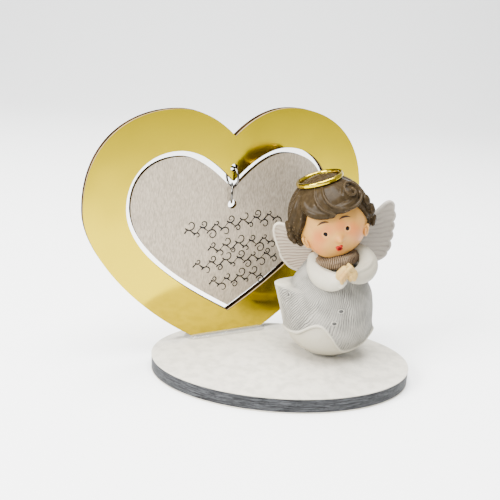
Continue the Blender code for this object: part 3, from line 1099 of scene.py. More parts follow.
@dataclass(frozen=True)
class HeartOutline:
    """Half of a heart as three bends, in millimetres from its foot."""

    half_width: float
    widest: float
    lobe: float
    top: float
    cleft: float
    tip: float
    cleft_out: Flat
    lobe_in: float
    lobe_out: float
    side_up: float
    side_down: float
    tip_out: Flat
    steps: int = 40

    def points(self) -> list[Flat]:
        """The closed outline in metres.

        Returns:
            The points, from the cleft round by the right side.
        """
        crown = (self.lobe, self.top)
        side = (self.half_width, self.widest)
        start = (self.cleft_out[0], self.cleft + self.cleft_out[1])
        finish = (self.tip_out[0], self.tip + self.tip_out[1])
        half = bezier((0, self.cleft), start, (self.lobe - self.lobe_in, self.top), crown, self.steps)
        half += bezier(
            crown, (self.lobe + self.lobe_out, self.top), (self.half_width, self.widest + self.side_up), side,
            self.steps,
        )
        half += bezier(side, (self.half_width, self.widest - self.side_down), finish, (0, self.tip), self.steps)
        left = [(-x, z) for x, z in reversed(half[1:])]
        return [(x * MM, z * MM) for x, z in [*half, (0, self.tip), *left]]


def foot_cut(points: Sequence[Flat]) -> list[Flat]:
    """An outline with everything below height 0 cut straight off.

    Args:
        points: the outline.

    Returns:
        What is left of it.
    """
    kept = []
    for (x0, z0), (x1, z1) in zip(points, [*points[1:], points[0]]):
        if z0 > 0:
            kept.append((x0, z0))
        if (z0 > 0) != (z1 > 0):
            kept.append((x0 + (x1 - x0) * z0 / (z0 - z1), 0))
    return kept


@dataclass
class HeartPlace:
    """Where the upright hearts stand: their foot, and the way they face, both read from the frame."""

    foot: Vector = field(init=False)
    across: Vector = field(init=False)

    def __post_init__(self) -> None:
        """Reads the upper ring's hinge and the gold heart's lowest level."""
        hinge = next(joint for joint in FRAME["joints"] if joint["name"] == "ring_swing")
        self.foot = Vector((*hinge["pos_m"][:2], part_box("heart_frame")[0].z))
        self.across = Vector(hinge["axis"])

    def matrix(self) -> Matrix:
        """From the sheets' own plane to the frame."""
        yaw = math.atan2(self.across.y, self.across.x)
        return Matrix.Translation(self.foot) @ Matrix.Rotation(yaw, 4, "Z")

    def facing(self) -> Vector:
        """The way the front of the hearts looks."""
        return Vector((self.across.y, -self.across.x, 0))


@dataclass
class GoldHeart:
    """The upright open heart of mirror sheet, and the clear glue at its foot."""

    place: HeartPlace
    thickness: float = 3 * MM
    hole: Flat = (62.0 * MM, 1.45 * MM)
    outer: HeartOutline = HeartOutline(
        52.4, 49, 20.3, 82.3, 72.9, -6, (5.3, 5.2), 8.3, 18.4, 21.2, 19.2, (21.9, 6.1)
    )
    opening: HeartOutline = HeartOutline(
        38.3, 49.5, 19.8, 68.5, 57.3, 8.3, (4.7, 5.1), 7.7, 10.9, 11, 15.6, (17.8, 11)
    )
    film: MirrorFilm = MirrorFilm("gold_film", (0.50, 0.375, 0.002), 0.085, metallic=1.0)
    bead: Flat = (3.4 * MM, 3.6 * MM)
    bead_height: float = 1.7 * MM
    bead_half_run: float = 12.6 * MM

    def edge(self) -> CutEdge:
        """The finish of the cut edge, its painted line of light just behind the film.

        Returns:
            The finish.
        """
        return CutEdge(
            "gold_cut_edge", (0.026, 0.014, 0.006), 0.6, gloss=0.0, start=tuple(self.place.foot),
            facing=tuple(self.place.facing()), glow=(0.42, 0.30, 0.14), glow_at=0.95, glow_wide=0.38,
        )

    def build(self) -> None:
        """Makes the heart, and the glue along its foot."""
        bm = sheet([foot_cut(self.outer.points()), self.opening.points(), bore(self.hole)], self.thickness)
        carry(bm, self.place.matrix())
        add_piece(
            "gold_heart", bm, [self.film, self.edge()], Body.STAND, ["heart_frame"], sharp=25
        )
        self.build_glue()

    def build_glue(self) -> None:
        """The long low bead of glue that the foot stands in."""
        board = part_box("board_top_skin")[1].z
        bm = bmesh.new()
        bmesh.ops.create_uvsphere(bm, u_segments=64, v_segments=32, radius=1)
        bmesh.ops.scale(bm, vec=(*self.bead, self.bead_height), verts=bm.verts[:])
        for vert in bm.verts:
            vert.co.x += math.copysign(self.bead_half_run, vert.co.x)
            swell = 1 + 0.22 * noise.noise(vert.co * 180)
            vert.co.y *= swell
            vert.co.z *= 0.85 + 0.5 * (swell - 1)
        everything = [*bm.verts, *bm.edges, *bm.faces]
        bmesh.ops.bisect_plane(bm, geom=everything, plane_co=(0, 0, 0), plane_no=(0, 0, -1), clear_outer=True)
        bmesh.ops.holes_fill(bm, edges=[e for e in bm.edges if e.is_boundary])
        drop = Matrix.Translation((0, 0, board - self.place.foot.z))
        carry(bm, self.place.matrix() @ drop)
        add_piece("heart_glue_bead", bm, [CLEAR_GLUE], Body.STAND, ["frame_glue"])


@dataclass
class JumpRing:
    """A wire ring with its ends butted together."""

    place: HeartPlace
    name: str
    body: Body
    height: float
    radius: float
    turn: float
    wire: float = 0.8 * MM
    seam: float = math.radians(2.2)
    plating: Plating = Plating("ring_plating", (0.115, 0.108, 0.098), 0.07, metallic=1.0)

    def build(self) -> None:
        """Makes the ring upright, its seam at the side."""
        bm = wire_ring(self.radius, round_section(self.wire / 2, 20), 96, self.seam)
        bmesh.ops.rotate(bm, verts=bm.verts[:], matrix=Matrix.Rotation(math.pi / 2, 3, "Y"))
        bmesh.ops.rotate(bm, verts=bm.verts[:], matrix=Matrix.Rotation(self.turn, 3, "Z"))
        shift(bm, (0, 0, self.height))
        carry(bm, self.place.matrix())
        add_piece(self.name + "_wire", bm, [self.plating], self.body, ["jump_" + self.name])


@dataclass
class SilverHeart:
    """The hanging heart of brushed sheet, with rows of scrolled flourishes inked on it."""

    place: HeartPlace
    thickness: float = 2 * MM
    hole: Flat = (48.9 * MM, 1.62 * MM)
    outline: HeartOutline = HeartOutline(
        36.7, 49.5, 19.4, 66.5, 54.25, 10.4, (4.9, 5.1), 7.2, 10.4, 10.5, 15, (16.9, 10.6)
    )
    rows: tuple[tuple[float, float, float, float], ...] = (
        (-17.5, 39.6, 18.5, 43.6),
        (-8.5, 32.6, 17.0, 34.6),
        (-14.0, 26.8, 18.5, 28.6),
        (-7.5, 19.6, 13.0, 21.4),
    )
    film: BrushedFilm = BrushedFilm("silver_film", (0.37, 0.31, 0.235), 0.42, metallic=0.45)
    ink: PlainPaint = PlainPaint("scroll_ink", (0.006, 0.005, 0.004), 0.4)

    def edge(self) -> CutEdge:
        """The finish of the cut edge.

        Returns:
            The finish.
        """
        return CutEdge(
            "silver_cut_edge", (0.035, 0.022, 0.010), 0.6, gloss=0.0, start=tuple(self.place.foot),
            facing=tuple(self.place.facing()), glow=(0.16, 0.10, 0.03), glow_at=0.55, glow_wide=0.3,
        )

    def build(self) -> None:
        """Makes the heart and its flourishes."""
        bm = sheet([self.outline.points(), bore(self.hole)], self.thickness)
        carry(bm, self.place.matrix())
        add_piece(
            "silver_heart", bm, [self.film, self.edge()], Body.HANGING_HEART, ["heart_plate"],
            sharp=25,
        )
        strokes = bmesh.new()
        for row in self.rows:
            self.build_row(strokes, *row)
        bmesh.ops.scale(strokes, vec=(1, 0.22, 1), verts=strokes.verts[:])
        shift(strokes, (0, -self.thickness / 2, 0))
        carry(strokes, self.place.matrix())
        add_piece("scroll_flourishes", strokes, [self.ink], Body.HANGING_HEART)

    def build_row(self, bm: bmesh.types.BMesh, x0: float, z0: float, x1: float, z1: float) -> None:
        """One row: a waving stem, from whose crests tendrils curl to and fro.

        Args:
            bm: where it is added.
            x0: the stem's start across the heart, in millimetres.
            z0: the stem's start above the foot.
            x1: the stem's end across the heart.
            z1: the stem's end above the foot.
        """
        start, along = Vector((x0, 0, z0)), Vector((x1 - x0, 0, z1 - z0))
        length = along.length
        along.normalize()
        upward = Vector((-along.z, 0, along.x))
        waves = round(length / 5.4)
        stem = []
        for i in range(waves * 12 + 1):
            phase = math.tau * i / 12
            where = start + along * (length * i / (waves * 12)) + upward * 0.9 * math.sin(phase)
            stem.append((where * MM, (0.23 + 0.09 * math.cos(phase * 1.5)) * MM))
        sweep(bm, [p for p, _ in stem], [r for _, r in stem], 8)
        for i in range(2 * waves):
            side = 1 if i % 2 == 0 else -1
            root = start + along * (length * (i + 0.5) / (2 * waves)) + upward * 0.9 * side
            size = 1.6 + 0.55 * math.sin(2.4 * i + x0)
            self.build_tendril(bm, root, along, upward * side, size, 0.95 + 0.3 * math.cos(1.7 * i + z0))

    def build_tendril(
        self, bm: bmesh.types.BMesh, root: Vector, along: Vector, outward: Vector, size: float, turns: float
    ) -> None:
        """A stroke that leaves the stem and winds inwards.

        Args:
            bm: where it is added.
            root: where it leaves the stem, in millimetres.
            along: the row's direction.
            outward: away from the stem.
            size: the radius of its outer turn, in millimetres.
            turns: how far round it winds.
        """
        centre = root + outward * size * 0.75 + along * size * 0.5
        path, widths = [], []
        for i in range(20):
            share = i / 19
            angle = -math.pi * 0.85 + share * math.tau * turns
            radius = size * (1 - 0.72 * share)
            where = centre + along * radius * math.cos(angle) + outward * radius * math.sin(angle)
            path.append(where * MM)
            widths.append((0.29 - 0.12 * share) * MM)
        sweep(bm, path, widths, 8)


# ---------------------------------------------------------------- the angel's body


@dataclass
class FigurePlace:
    """Where the angel stands: the middle of its glue, on top of the board."""

    foot: Vector = field(init=False)

    def __post_init__(self) -> None:
        """Reads the glue's middle and the board's top."""
        low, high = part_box("figure_glue")
        self.foot = Vector((*((low + high) / 2).xy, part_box("board_top_skin")[1].z))

    def at(self, x: float, y: float, z: float) -> Vector:
        """A point given in millimetres from the angel's foot."""
        return self.foot + Vector((x, y, z)) * MM

    def knots(self, *knots: Sequence[float]) -> list[tuple[float, ...]]:
        """Rope knots (x, y, z, radius) given in millimetres from the angel's foot."""
        return [(*self.at(*knot[:3]), knot[3] * MM) for knot in knots]


@dataclass
class Robe:
    """The bell-shaped robe with its wavy hem and blown-out corner, and the smooth underside inside it."""

    place: FigurePlace
    depth: float = 0.86
    cloth: float = 1.35
    fullness: float = 0.55
    top_of_hem: float = 21.0
    low_of_hem: float = 4.6
    segments: int = 300
    bowl: tuple[Flat, ...] = (
        (0.7, 4.6), (1.9, 7.6), (3.9, 10.4), (6.6, 12.5), (9.8, 13.9), (13, 14.35), (17, 14.2), (21, 13.6),
        (24, 12.6),
    )
    bell: tuple[Flat, ...] = (
        (21, 15.1), (24, 14.5), (27, 13.3), (30, 11.7), (34, 9.2), (36.4, 6.6), (37.4, 4.6)
    )
    hem: tuple[Flat, ...] = (
        (-180, 7.0), (-120, 7.5), (-90, 9.2), (-57, 10.4), (-42, 11.4), (-28, 14.0), (-18, 15.3), (-9, 14.8),
        (2.6, 11.3), (10, 8.2), (18.5, 5.9), (30, 5.2), (48, 6.2), (62, 8.2), (78, 11.2), (94, 10.2),
        (130, 7.0), (180, 7.0),
    )
    buttons: tuple[Flat, ...] = ((-61.0, 23.6), (10.8, 21.5), (3.3, 17.2))
    corner_low: float = 10.0
    corner_tip: float = 25.2
    corner_top: float = 26.2
    corner_out: float = 5.6
    corner_up: float = 0.10  # of its reach
    corner_spread: float = 0.5  # in radians

    def inner(self, height: float) -> float:
        """The underside's radius at a height, both in millimetres."""
        return through(self.bowl, height) + self.fullness * rise(height, 1.5, 7)

    def outer(self, height: float) -> float:
        """The robe's radius at a height, both in millimetres.

        Args:
            height: above the foot.

        Returns:
            The radius.
        """
        if height < self.top_of_hem:
            return through(self.bowl, height) + self.cloth * rise(height, -2, 6) + 0.15 * rise(height, 13, 21)
        return through(self.bell, height)

    def hem_at(self, east: float) -> float:
        """The hem's height in millimetres at an angle in degrees from the front."""
        return through(self.hem, east)

    def profile(self) -> list[Flat]:
        """The robe's closed profile, with the hem as its lowest stretch.

        Returns:
            Its points as (radius, height) in metres.
        """
        low, high = self.low_of_hem, self.top_of_hem
        climb = [low + (high - low) * i / 34 for i in range(35)]
        inside = [(self.inner(z) + 0.12, z) for z in reversed(climb)]
        lip = [(self.inner(low) + 0.22, low - 0.16), (self.outer(low) - 0.2, low - 0.26)]
        lip.append((self.outer(low) - 0.05, low - 0.12))
        outside = [(self.outer(z), z) for z in climb]
        upper = [(self.outer(z), z) for z in (high + 0.4 * i for i in range(1, 42)) if z < 37.4]
        cap = [(0, high + 0.6), (0.7 * self.inner(high), high + 0.5)]
        return [(r * MM, z * MM) for r, z in [*cap, *inside, *lip, *outside, *upper, (3.6, 37.6), (0, 37.6)]]

    def shape(self, bm: bmesh.types.BMesh) -> None:
        """Cuts the hem to its wave, blows out the corner and gives the skirt a few broad folds.

        Args:
            bm: the turned robe, about the Z axis. It gets a rim value on its clean edges.
        """
        low, high = self.low_of_hem, self.top_of_hem
        rim = bm.verts.layers.float.new("rim")
        for vert in bm.verts:
            height = vert.co.z / MM
            radius = vert.co.xy.length / MM
            if radius < 0.01:
                continue
            east = math.degrees(math.atan2(vert.co.x, -vert.co.y))
            out = Vector((vert.co.x, vert.co.y, 0)).normalized()
            if height <= high + 0.01 and radius > 0.8 * self.inner(high):
                hem = self.hem_at(east)
                inside = radius < self.inner(max(height, low)) + 0.3 and height >= low - 0.01
                under = min(0.0, height - low)
                share = max(0.0, (height - low) / (high - low))
                height = hem + share * (high - hem) + under
                around = self.inner(max(hem, height))
                extra = 0.12 if inside else self.outer(height) - around
                if under < 0:
                    extra = radius - self.inner(low)
                above = height - hem
                lip = 0.0 if inside else 0.38 * hump(above, 0.35, 0.42)
                corner = 0.9 * hump(east, 78, 10) * hump(above, 0, 2.0)
                radius = around + extra + lip + corner
                vert[rim] = rise(1.05 - above, 0.0, 0.4)
            folds = 0.16 * math.sin(math.radians(east * 7) + 0.12 * height) * rise(radius, 12.5, 14.5)
            point = out * (radius + folds) * MM
            vert.co = Vector((point.x, point.y * self.depth, height * MM))
            vert[rim] = max(vert[rim], self.blow_out(vert, east))

    def reach(self, east: float, height: float) -> float:
        """How far the corner is blown out, in millimetres, at an angle in degrees and a height.

        Args:
            east: the angle from the front.
            height: above the foot, before it is blown out.

        Returns:
            The distance.
        """
        share = rise(self.corner_top - height, 0, self.corner_top - self.corner_tip)
        if height < self.corner_tip:
            share = max(0.0, (height - self.corner_low) / (self.corner_tip - self.corner_low)) ** 1.6
        return self.corner_out * hump(math.radians(east), -math.pi / 2, self.corner_spread) * share

    def blow_out(self, vert: bmesh.types.BMVert, east: float) -> float:
        """Pulls the cloth on the angel's right out to a corner under the waist.

        Args:
            vert: a vert of the robe.
            east: its angle from the front in degrees.

        Returns:
            How clean the cloth is there: 1 along the corner's edge.
        """
        height = vert.co.z / MM
        if vert.co.xy.length < 11.8 * MM or not self.corner_low <= height <= self.corner_top:
            return 0.0
        side = hump(math.radians(east), -math.pi / 2, self.corner_spread)
        reach = self.reach(east, height)
        vert.co.x -= reach * MM
        vert.co.z += self.corner_up * reach * MM
        edge = hump(math.radians(east), -math.pi / 2 + 0.12, 0.10)
        return edge * rise(height, 11, 15) + side * hump(height, 25.6, 0.5)

    def build(self) -> None:
        """Makes the robe, its underside and its buttonholes."""
        bm = turned(self.profile(), self.segments)
        self.shape(bm)
        shift(bm, self.place.foot)
        wash = RobeResin(
            "robe_resin", (0.285, 0.27, 0.23), 0.55, gloss=0.15, wash=(0.075, 0.07, 0.062), amount=0.9,
            pitch_depth=0.24, foot=tuple(self.place.foot),
        )
        add_piece("robe_grooved", bm, [wash], Body.STAND, ["robe"])
        self.build_underside()
        self.build_buttons()

    def build_underside(self) -> None:
        """The smooth bowl that closes the skirt, and the glue squeezed out below it."""
        heights = [0.75 + (23.2 * i / 60) for i in range(61)]
        profile = [(0, heights[0]), *((self.inner(z), z) for z in heights), (0, heights[-1])]
        bm = turned([(r * MM, z * MM) for r, z in profile], 160)
        bmesh.ops.scale(bm, vec=(1, self.depth, 1), verts=bm.verts[:])
        shift(bm, self.place.foot)
        add_piece("underside_smooth", bm, [PLAIN_RESIN], Body.STAND, ["robe_underside"])
        pad = turned([(0, 0), (5.2 * MM, 0), (5.6 * MM, 0.3 * MM), (5.0 * MM, 0.9 * MM), (0, 1.0 * MM)], 72)
        for vert in pad.verts:
            vert.co.x *= 1 + 0.08 * noise.noise(vert.co * 300)
            vert.co.y *= self.depth
        shift(pad, self.place.foot)
        add_piece("figure_glue_pad", pad, [CLEAR_GLUE], Body.STAND, ["figure_glue"])

    def surface(self, east: float, height: float, lift: float = 0.0) -> Matrix:
        """Axes on the robe's outside: X round it, Y inwards and Z up.

        Args:
            east: the angle from the front in degrees.
            height: in millimetres above the foot.
            lift: in millimetres off the cloth.

        Returns:
            The axes' place.
        """
        angle = math.radians(east)
        radius = self.outer(height) + lift
        reach = self.reach(east, height)
        x, y = radius * math.sin(angle) - reach, -radius * math.cos(angle) * self.depth
        where = self.place.at(x, y, height + self.corner_up * reach)
        out = Vector((math.sin(angle), -math.cos(angle), 0.12)).normalized()
        right = Vector((math.cos(angle), math.sin(angle), 0))
        axes = Matrix((right, -out, right.cross(-out))).transposed().to_4x4()
        return Matrix.Translation(where) @ axes

    def build_buttons(self) -> None:
        """Small pressed buttons: a low ring round a dimple, painted dark as its shade."""
        rings, dots = bmesh.new(), bmesh.new()
        for east, height in self.buttons:
            where = self.surface(east, height, 0.12) @ Matrix.Rotation(math.pi / 2, 4, "X")
            made = wire_ring(0.85 * MM, round_section(0.2 * MM, 10), 28)
            bmesh.ops.scale(made, vec=(1.15, 0.8, 0.6), verts=made.verts[:])
            carry(made, where)
            merge_into(rings, made)
            disc = bmesh.ops.create_uvsphere(dots, u_segments=18, v_segments=10, radius=0.72 * MM)["verts"]
            bmesh.ops.scale(dots, vec=(1.15, 0.8, 0.3), verts=disc)
            bmesh.ops.transform(dots, matrix=where, verts=disc)
        soft = Resin("button_resin", (0.31, 0.295, 0.25), 0.5)
        add_piece("button_rings", rings, [soft], Body.STAND, ())
        # painted shade: the dimple's dark colour stands in for the shade inside it
        dark = PlainPaint("button_shadow", (0.05, 0.048, 0.045), 0.6)
        add_piece("button_dimples", dots, [dark], Body.STAND)


@dataclass
class Collar:
    """The pleated ruff that stands up round the neck."""

    place: FigurePlace
    centre: tuple[float, float, float] = (0.2, -0.6, 37.0)
    radius: float = 7.3 * MM
    tilt: float = math.radians(-14)
    pleats: int = 80

    def build(self) -> None:
        """Makes the ruff as a ring of narrow pleats, tilted so that it stands higher on the angel's left."""
        section = [(-2.6, -2.0), (0.2, -2.6), (1.7, -1.6), (1.9, -0.2), (1.0, 1.2), (-0.6, 1.9), (-2.4, 1.9)]
        bm = wire_ring(self.radius, soft_section(section, 4), 7 * self.pleats)
        for vert in bm.verts:
            angle = math.atan2(vert.co.x, -vert.co.y)
            crest = 0.011 * math.cos(self.pleats * angle) + 0.02 * math.sin(5 * angle)
            vert.co.x *= 1 + crest
            vert.co.y *= 1 + crest
            vert.co.z += 0.10 * MM * math.cos(self.pleats * angle)
        bmesh.ops.rotate(bm, verts=bm.verts[:], matrix=Matrix.Rotation(self.tilt, 3, "Y"))
        where = self.place.at(*self.centre)
        shift(bm, where)
        finish = PleatResin(
            "ruff_resin", (0.185, 0.125, 0.07), 0.55, wash=(0.035, 0.02, 0.010), amount=0.85, pitch_depth=0.12,
            neck=tuple(where), count=self.pleats,
        )
        add_piece("collar_pleated", bm, [finish], Body.STAND, ["collar"])


@dataclass
class Arms:
    """The two full sleeves and the clasped hands between them."""

    place: FigurePlace
    cloth: Resin = PLAIN_RESIN
    # a darker copy of the plain resin: painted shade for the left sleeve, which faces away from the light
    cloth_painted_shade: Resin = Resin("resin_painted_shade", (0.275, 0.25, 0.19), 0.5)

    def sleeve(
        self, side: Side, knots: Sequence[Sequence[float]], folds: Sequence[Sequence[Sequence[float]]]
    ) -> None:
        """A sleeve with soft creases.

        Args:
            side: which arm it is on.
            knots: its rope knots in millimetres from the foot.
            folds: the creases' rope knots.
        """
        bm = bmesh.new()
        rope(bm, self.place.knots(*knots), 10, 36)
        for fold in folds:
            rope(bm, self.place.knots(*fold), 8, 16)
        name = side.name.lower()
        # the left sleeve gets the darker copy of the resin as painted shade
        cloth = self.cloth if side is Side.RIGHT else self.cloth_painted_shade
        add_piece(
            "sleeve_" + name + "_full", fused(bm, 0.2 * MM, 4), [cloth], Body.STAND, ["sleeve_" + name],
        )

    def build(self) -> None:
        """Makes both sleeves and the hands."""
        self.sleeve(
            Side.RIGHT,
            [(-6.6, -2.6, 36.0, 2.4), (-6.2, -5.4, 33.4, 3.0), (-4.4, -8.6, 31.7, 3.4)]
            + [(-1.6, -11.2, 31.4, 3.4), (0.6, -12.8, 32.2, 2.9), (1.3, -13.2, 32.8, 2.5)],
            [
                [(-6.6, -6.8, 35.4, 0.7), (-4.0, -10.2, 34.2, 0.9), (-1.4, -12.8, 34.2, 0.8)]
                + [(0.6, -14.4, 34.4, 0.6)],
                [(-5.2, -10.0, 30.2, 0.5), (-2.8, -13.0, 30.4, 0.7), (-0.4, -14.6, 31.4, 0.6)],
                [(1.4, -15.4, 31.0, 0.45), (2.5, -15.2, 32.8, 0.5), (1.7, -14.9, 35.0, 0.45)],
            ],
        )
        self.sleeve(
            Side.LEFT,
            [(8.2, -1.6, 39.8, 2.3), (10.4, -3.2, 38.0, 3.0), (11.2, -5.6, 35.9, 3.4)]
            + [(9.9, -8.6, 34.3, 3.3), (7.6, -11.0, 33.9, 2.9), (6.0, -12.2, 34.1, 2.5)],
            [
                [(12.4, -6.4, 38.4, 0.7), (10.6, -9.8, 37.0, 0.9), (8.0, -12.2, 36.2, 0.8)]
                + [(6.6, -13.4, 36.0, 0.6)],
                [(12.0, -8.6, 33.4, 0.5), (9.4, -11.6, 32.2, 0.7), (6.9, -13.2, 32.4, 0.6)],
                [(5.2, -13.8, 36.4, 0.45), (5.0, -14.6, 34.2, 0.5), (5.6, -14.0, 32.4, 0.45)],
            ],
        )
        self.build_hands()

    def build_hands(self) -> None:
        """Two small hands pressed together, with their fingers side by side."""
        bm = bmesh.new()
        for palm in (
            ((1.2, -13.3, 32.8, 1.9), (1.6, -14.0, 34.8, 2.0), (2.4, -14.2, 36.6, 1.6)),
            ((5.4, -13.0, 34.2, 1.9), (4.6, -13.8, 35.4, 2.1), (3.6, -14.0, 36.8, 1.6)),
        ):
            rope(bm, self.place.knots(*palm), 8, 24)
        for k in range(4):
            x, z = 1.3 + 0.62 * k, 34.3 + 1.05 * k
            near = ((x + 0.4, -15.6, z - 1.6, 0.62), (x, -16.2, z, 0.66), (x + 0.9, -15.9, z + 0.9, 0.56))
            rope(bm, self.place.knots(*near), 6, 12)
        for k in range(3):
            x, z = 5.7 - 0.5 * k, 34.6 + 1.2 * k
            rope(bm, self.place.knots((x, -14.9, z - 0.7, 0.66), (x - 1.3, -15.7, z + 0.5, 0.62)), 6, 12)
        thumb = ((5.2, -14.4, 36.4, 0.8), (4.3, -15.2, 37.9, 0.75), (3.3, -15.0, 38.9, 0.6))
        rope(bm, self.place.knots(*thumb), 6, 12)
        spot = Spot(tuple(self.place.at(2.0, -16.5, 35.5)), 3.0, (0.26, 0.13, 0.035), 0.5)
        paint = SkinPaint("hands_satin", (0.36, 0.235, 0.075), 0.42, gloss=0.12, spots=(spot,))
        add_piece("hands_clasped", fused(bm, 0.13 * MM, 1), [paint], Body.STAND, ["hands"])


@dataclass
class Wing:
    """One wing: a flat body with a raised rim and carved feathers."""

    place: FigurePlace
    side: Side
    outline: tuple[Flat, ...]
    scallops: tuple[Flat, ...]
    hinge: float
    angle: float
    root: Flat
    colour: Colour
    wash: Colour
    clean: Colour
    stain: float
    per_radian: float
    bulge: float
    thickness: float = 1.7
    behind: float = 9.2

    def edge(self) -> list[Flat]:
        """The outline: a smooth inner side, and an outer side of rounded scallops between its valleys.

        Returns:
            Its points in metres.
        """
        points = [(p.x, p.y) for p in smooth_path([(x, z, 0) for x, z in self.outline], 10)]
        centre = Vector(self.root)
        for start, end in zip(self.scallops, self.scallops[1:]):
            a, b = Vector(start), Vector(end)
            middle = (a + b) / 2
            out = (middle - centre).normalized() * self.bulge * (b - a).length
            for i in range(12):
                share = i / 12
                bulge = math.sin(math.pi * share) ** 0.7
                point = a.lerp(b, share) + out * bulge
                points.append((point.x, point.y))
        return [(x * MM, z * MM) for x, z in points]

    def build(self) -> None:
        """Makes the wing and turns it back about its root."""
        bm = bmesh.new()
        bm.faces.new([bm.verts.new((x, -self.thickness / 2 * MM, z)) for x, z in self.edge()])
        thicken(bm, self.thickness * MM)
        rim = [e for e in bm.edges if abs(e.verts[0].co.y - e.verts[1].co.y) < 0.1 * MM]
        bmesh.ops.bevel(bm, geom=rim, offset=0.5 * MM, segments=4, profile=0.5, affect="EDGES", material=-1)
        fields = [f for f in bm.faces if len(f.verts) > 20]
        bmesh.ops.inset_individual(bm, faces=fields, thickness=0.22 * MM, depth=0)
        bmesh.ops.inset_individual(bm, faces=fields, thickness=0.28 * MM, depth=-0.2 * MM)
        layer = bm.verts.layers.float.new("rim")
        inner = {v for f in fields for v in f.verts}
        for vert in bm.verts:
            vert[layer] = 0.0 if vert in inner else 1.0
        bmesh.ops.triangulate(bm, faces=fields)
        root = Matrix.Translation((self.hinge * MM, 0, 0))
        turn = root @ Matrix.Rotation(self.angle, 4, "Z") @ root.inverted()
        carry(bm, turn)
        shift(bm, self.place.at(0, self.behind, 0))
        fan = self.place.at(self.root[0], self.behind, self.root[1])
        name = self.side.name.lower()
        finish = WingResin(
            "wing_resin_" + name, self.colour, 0.5, wash=self.wash, amount=self.stain, pitch_depth=0.14,
            clean=self.clean, root=tuple(fan), per_radian=self.per_radian,
        )
        add_piece(
            "wing_" + name + "_feathered", bm, [finish], Body.STAND, ["wing_" + name], sharp=50
        )


# ---------------------------------------------------------------- the angel's head


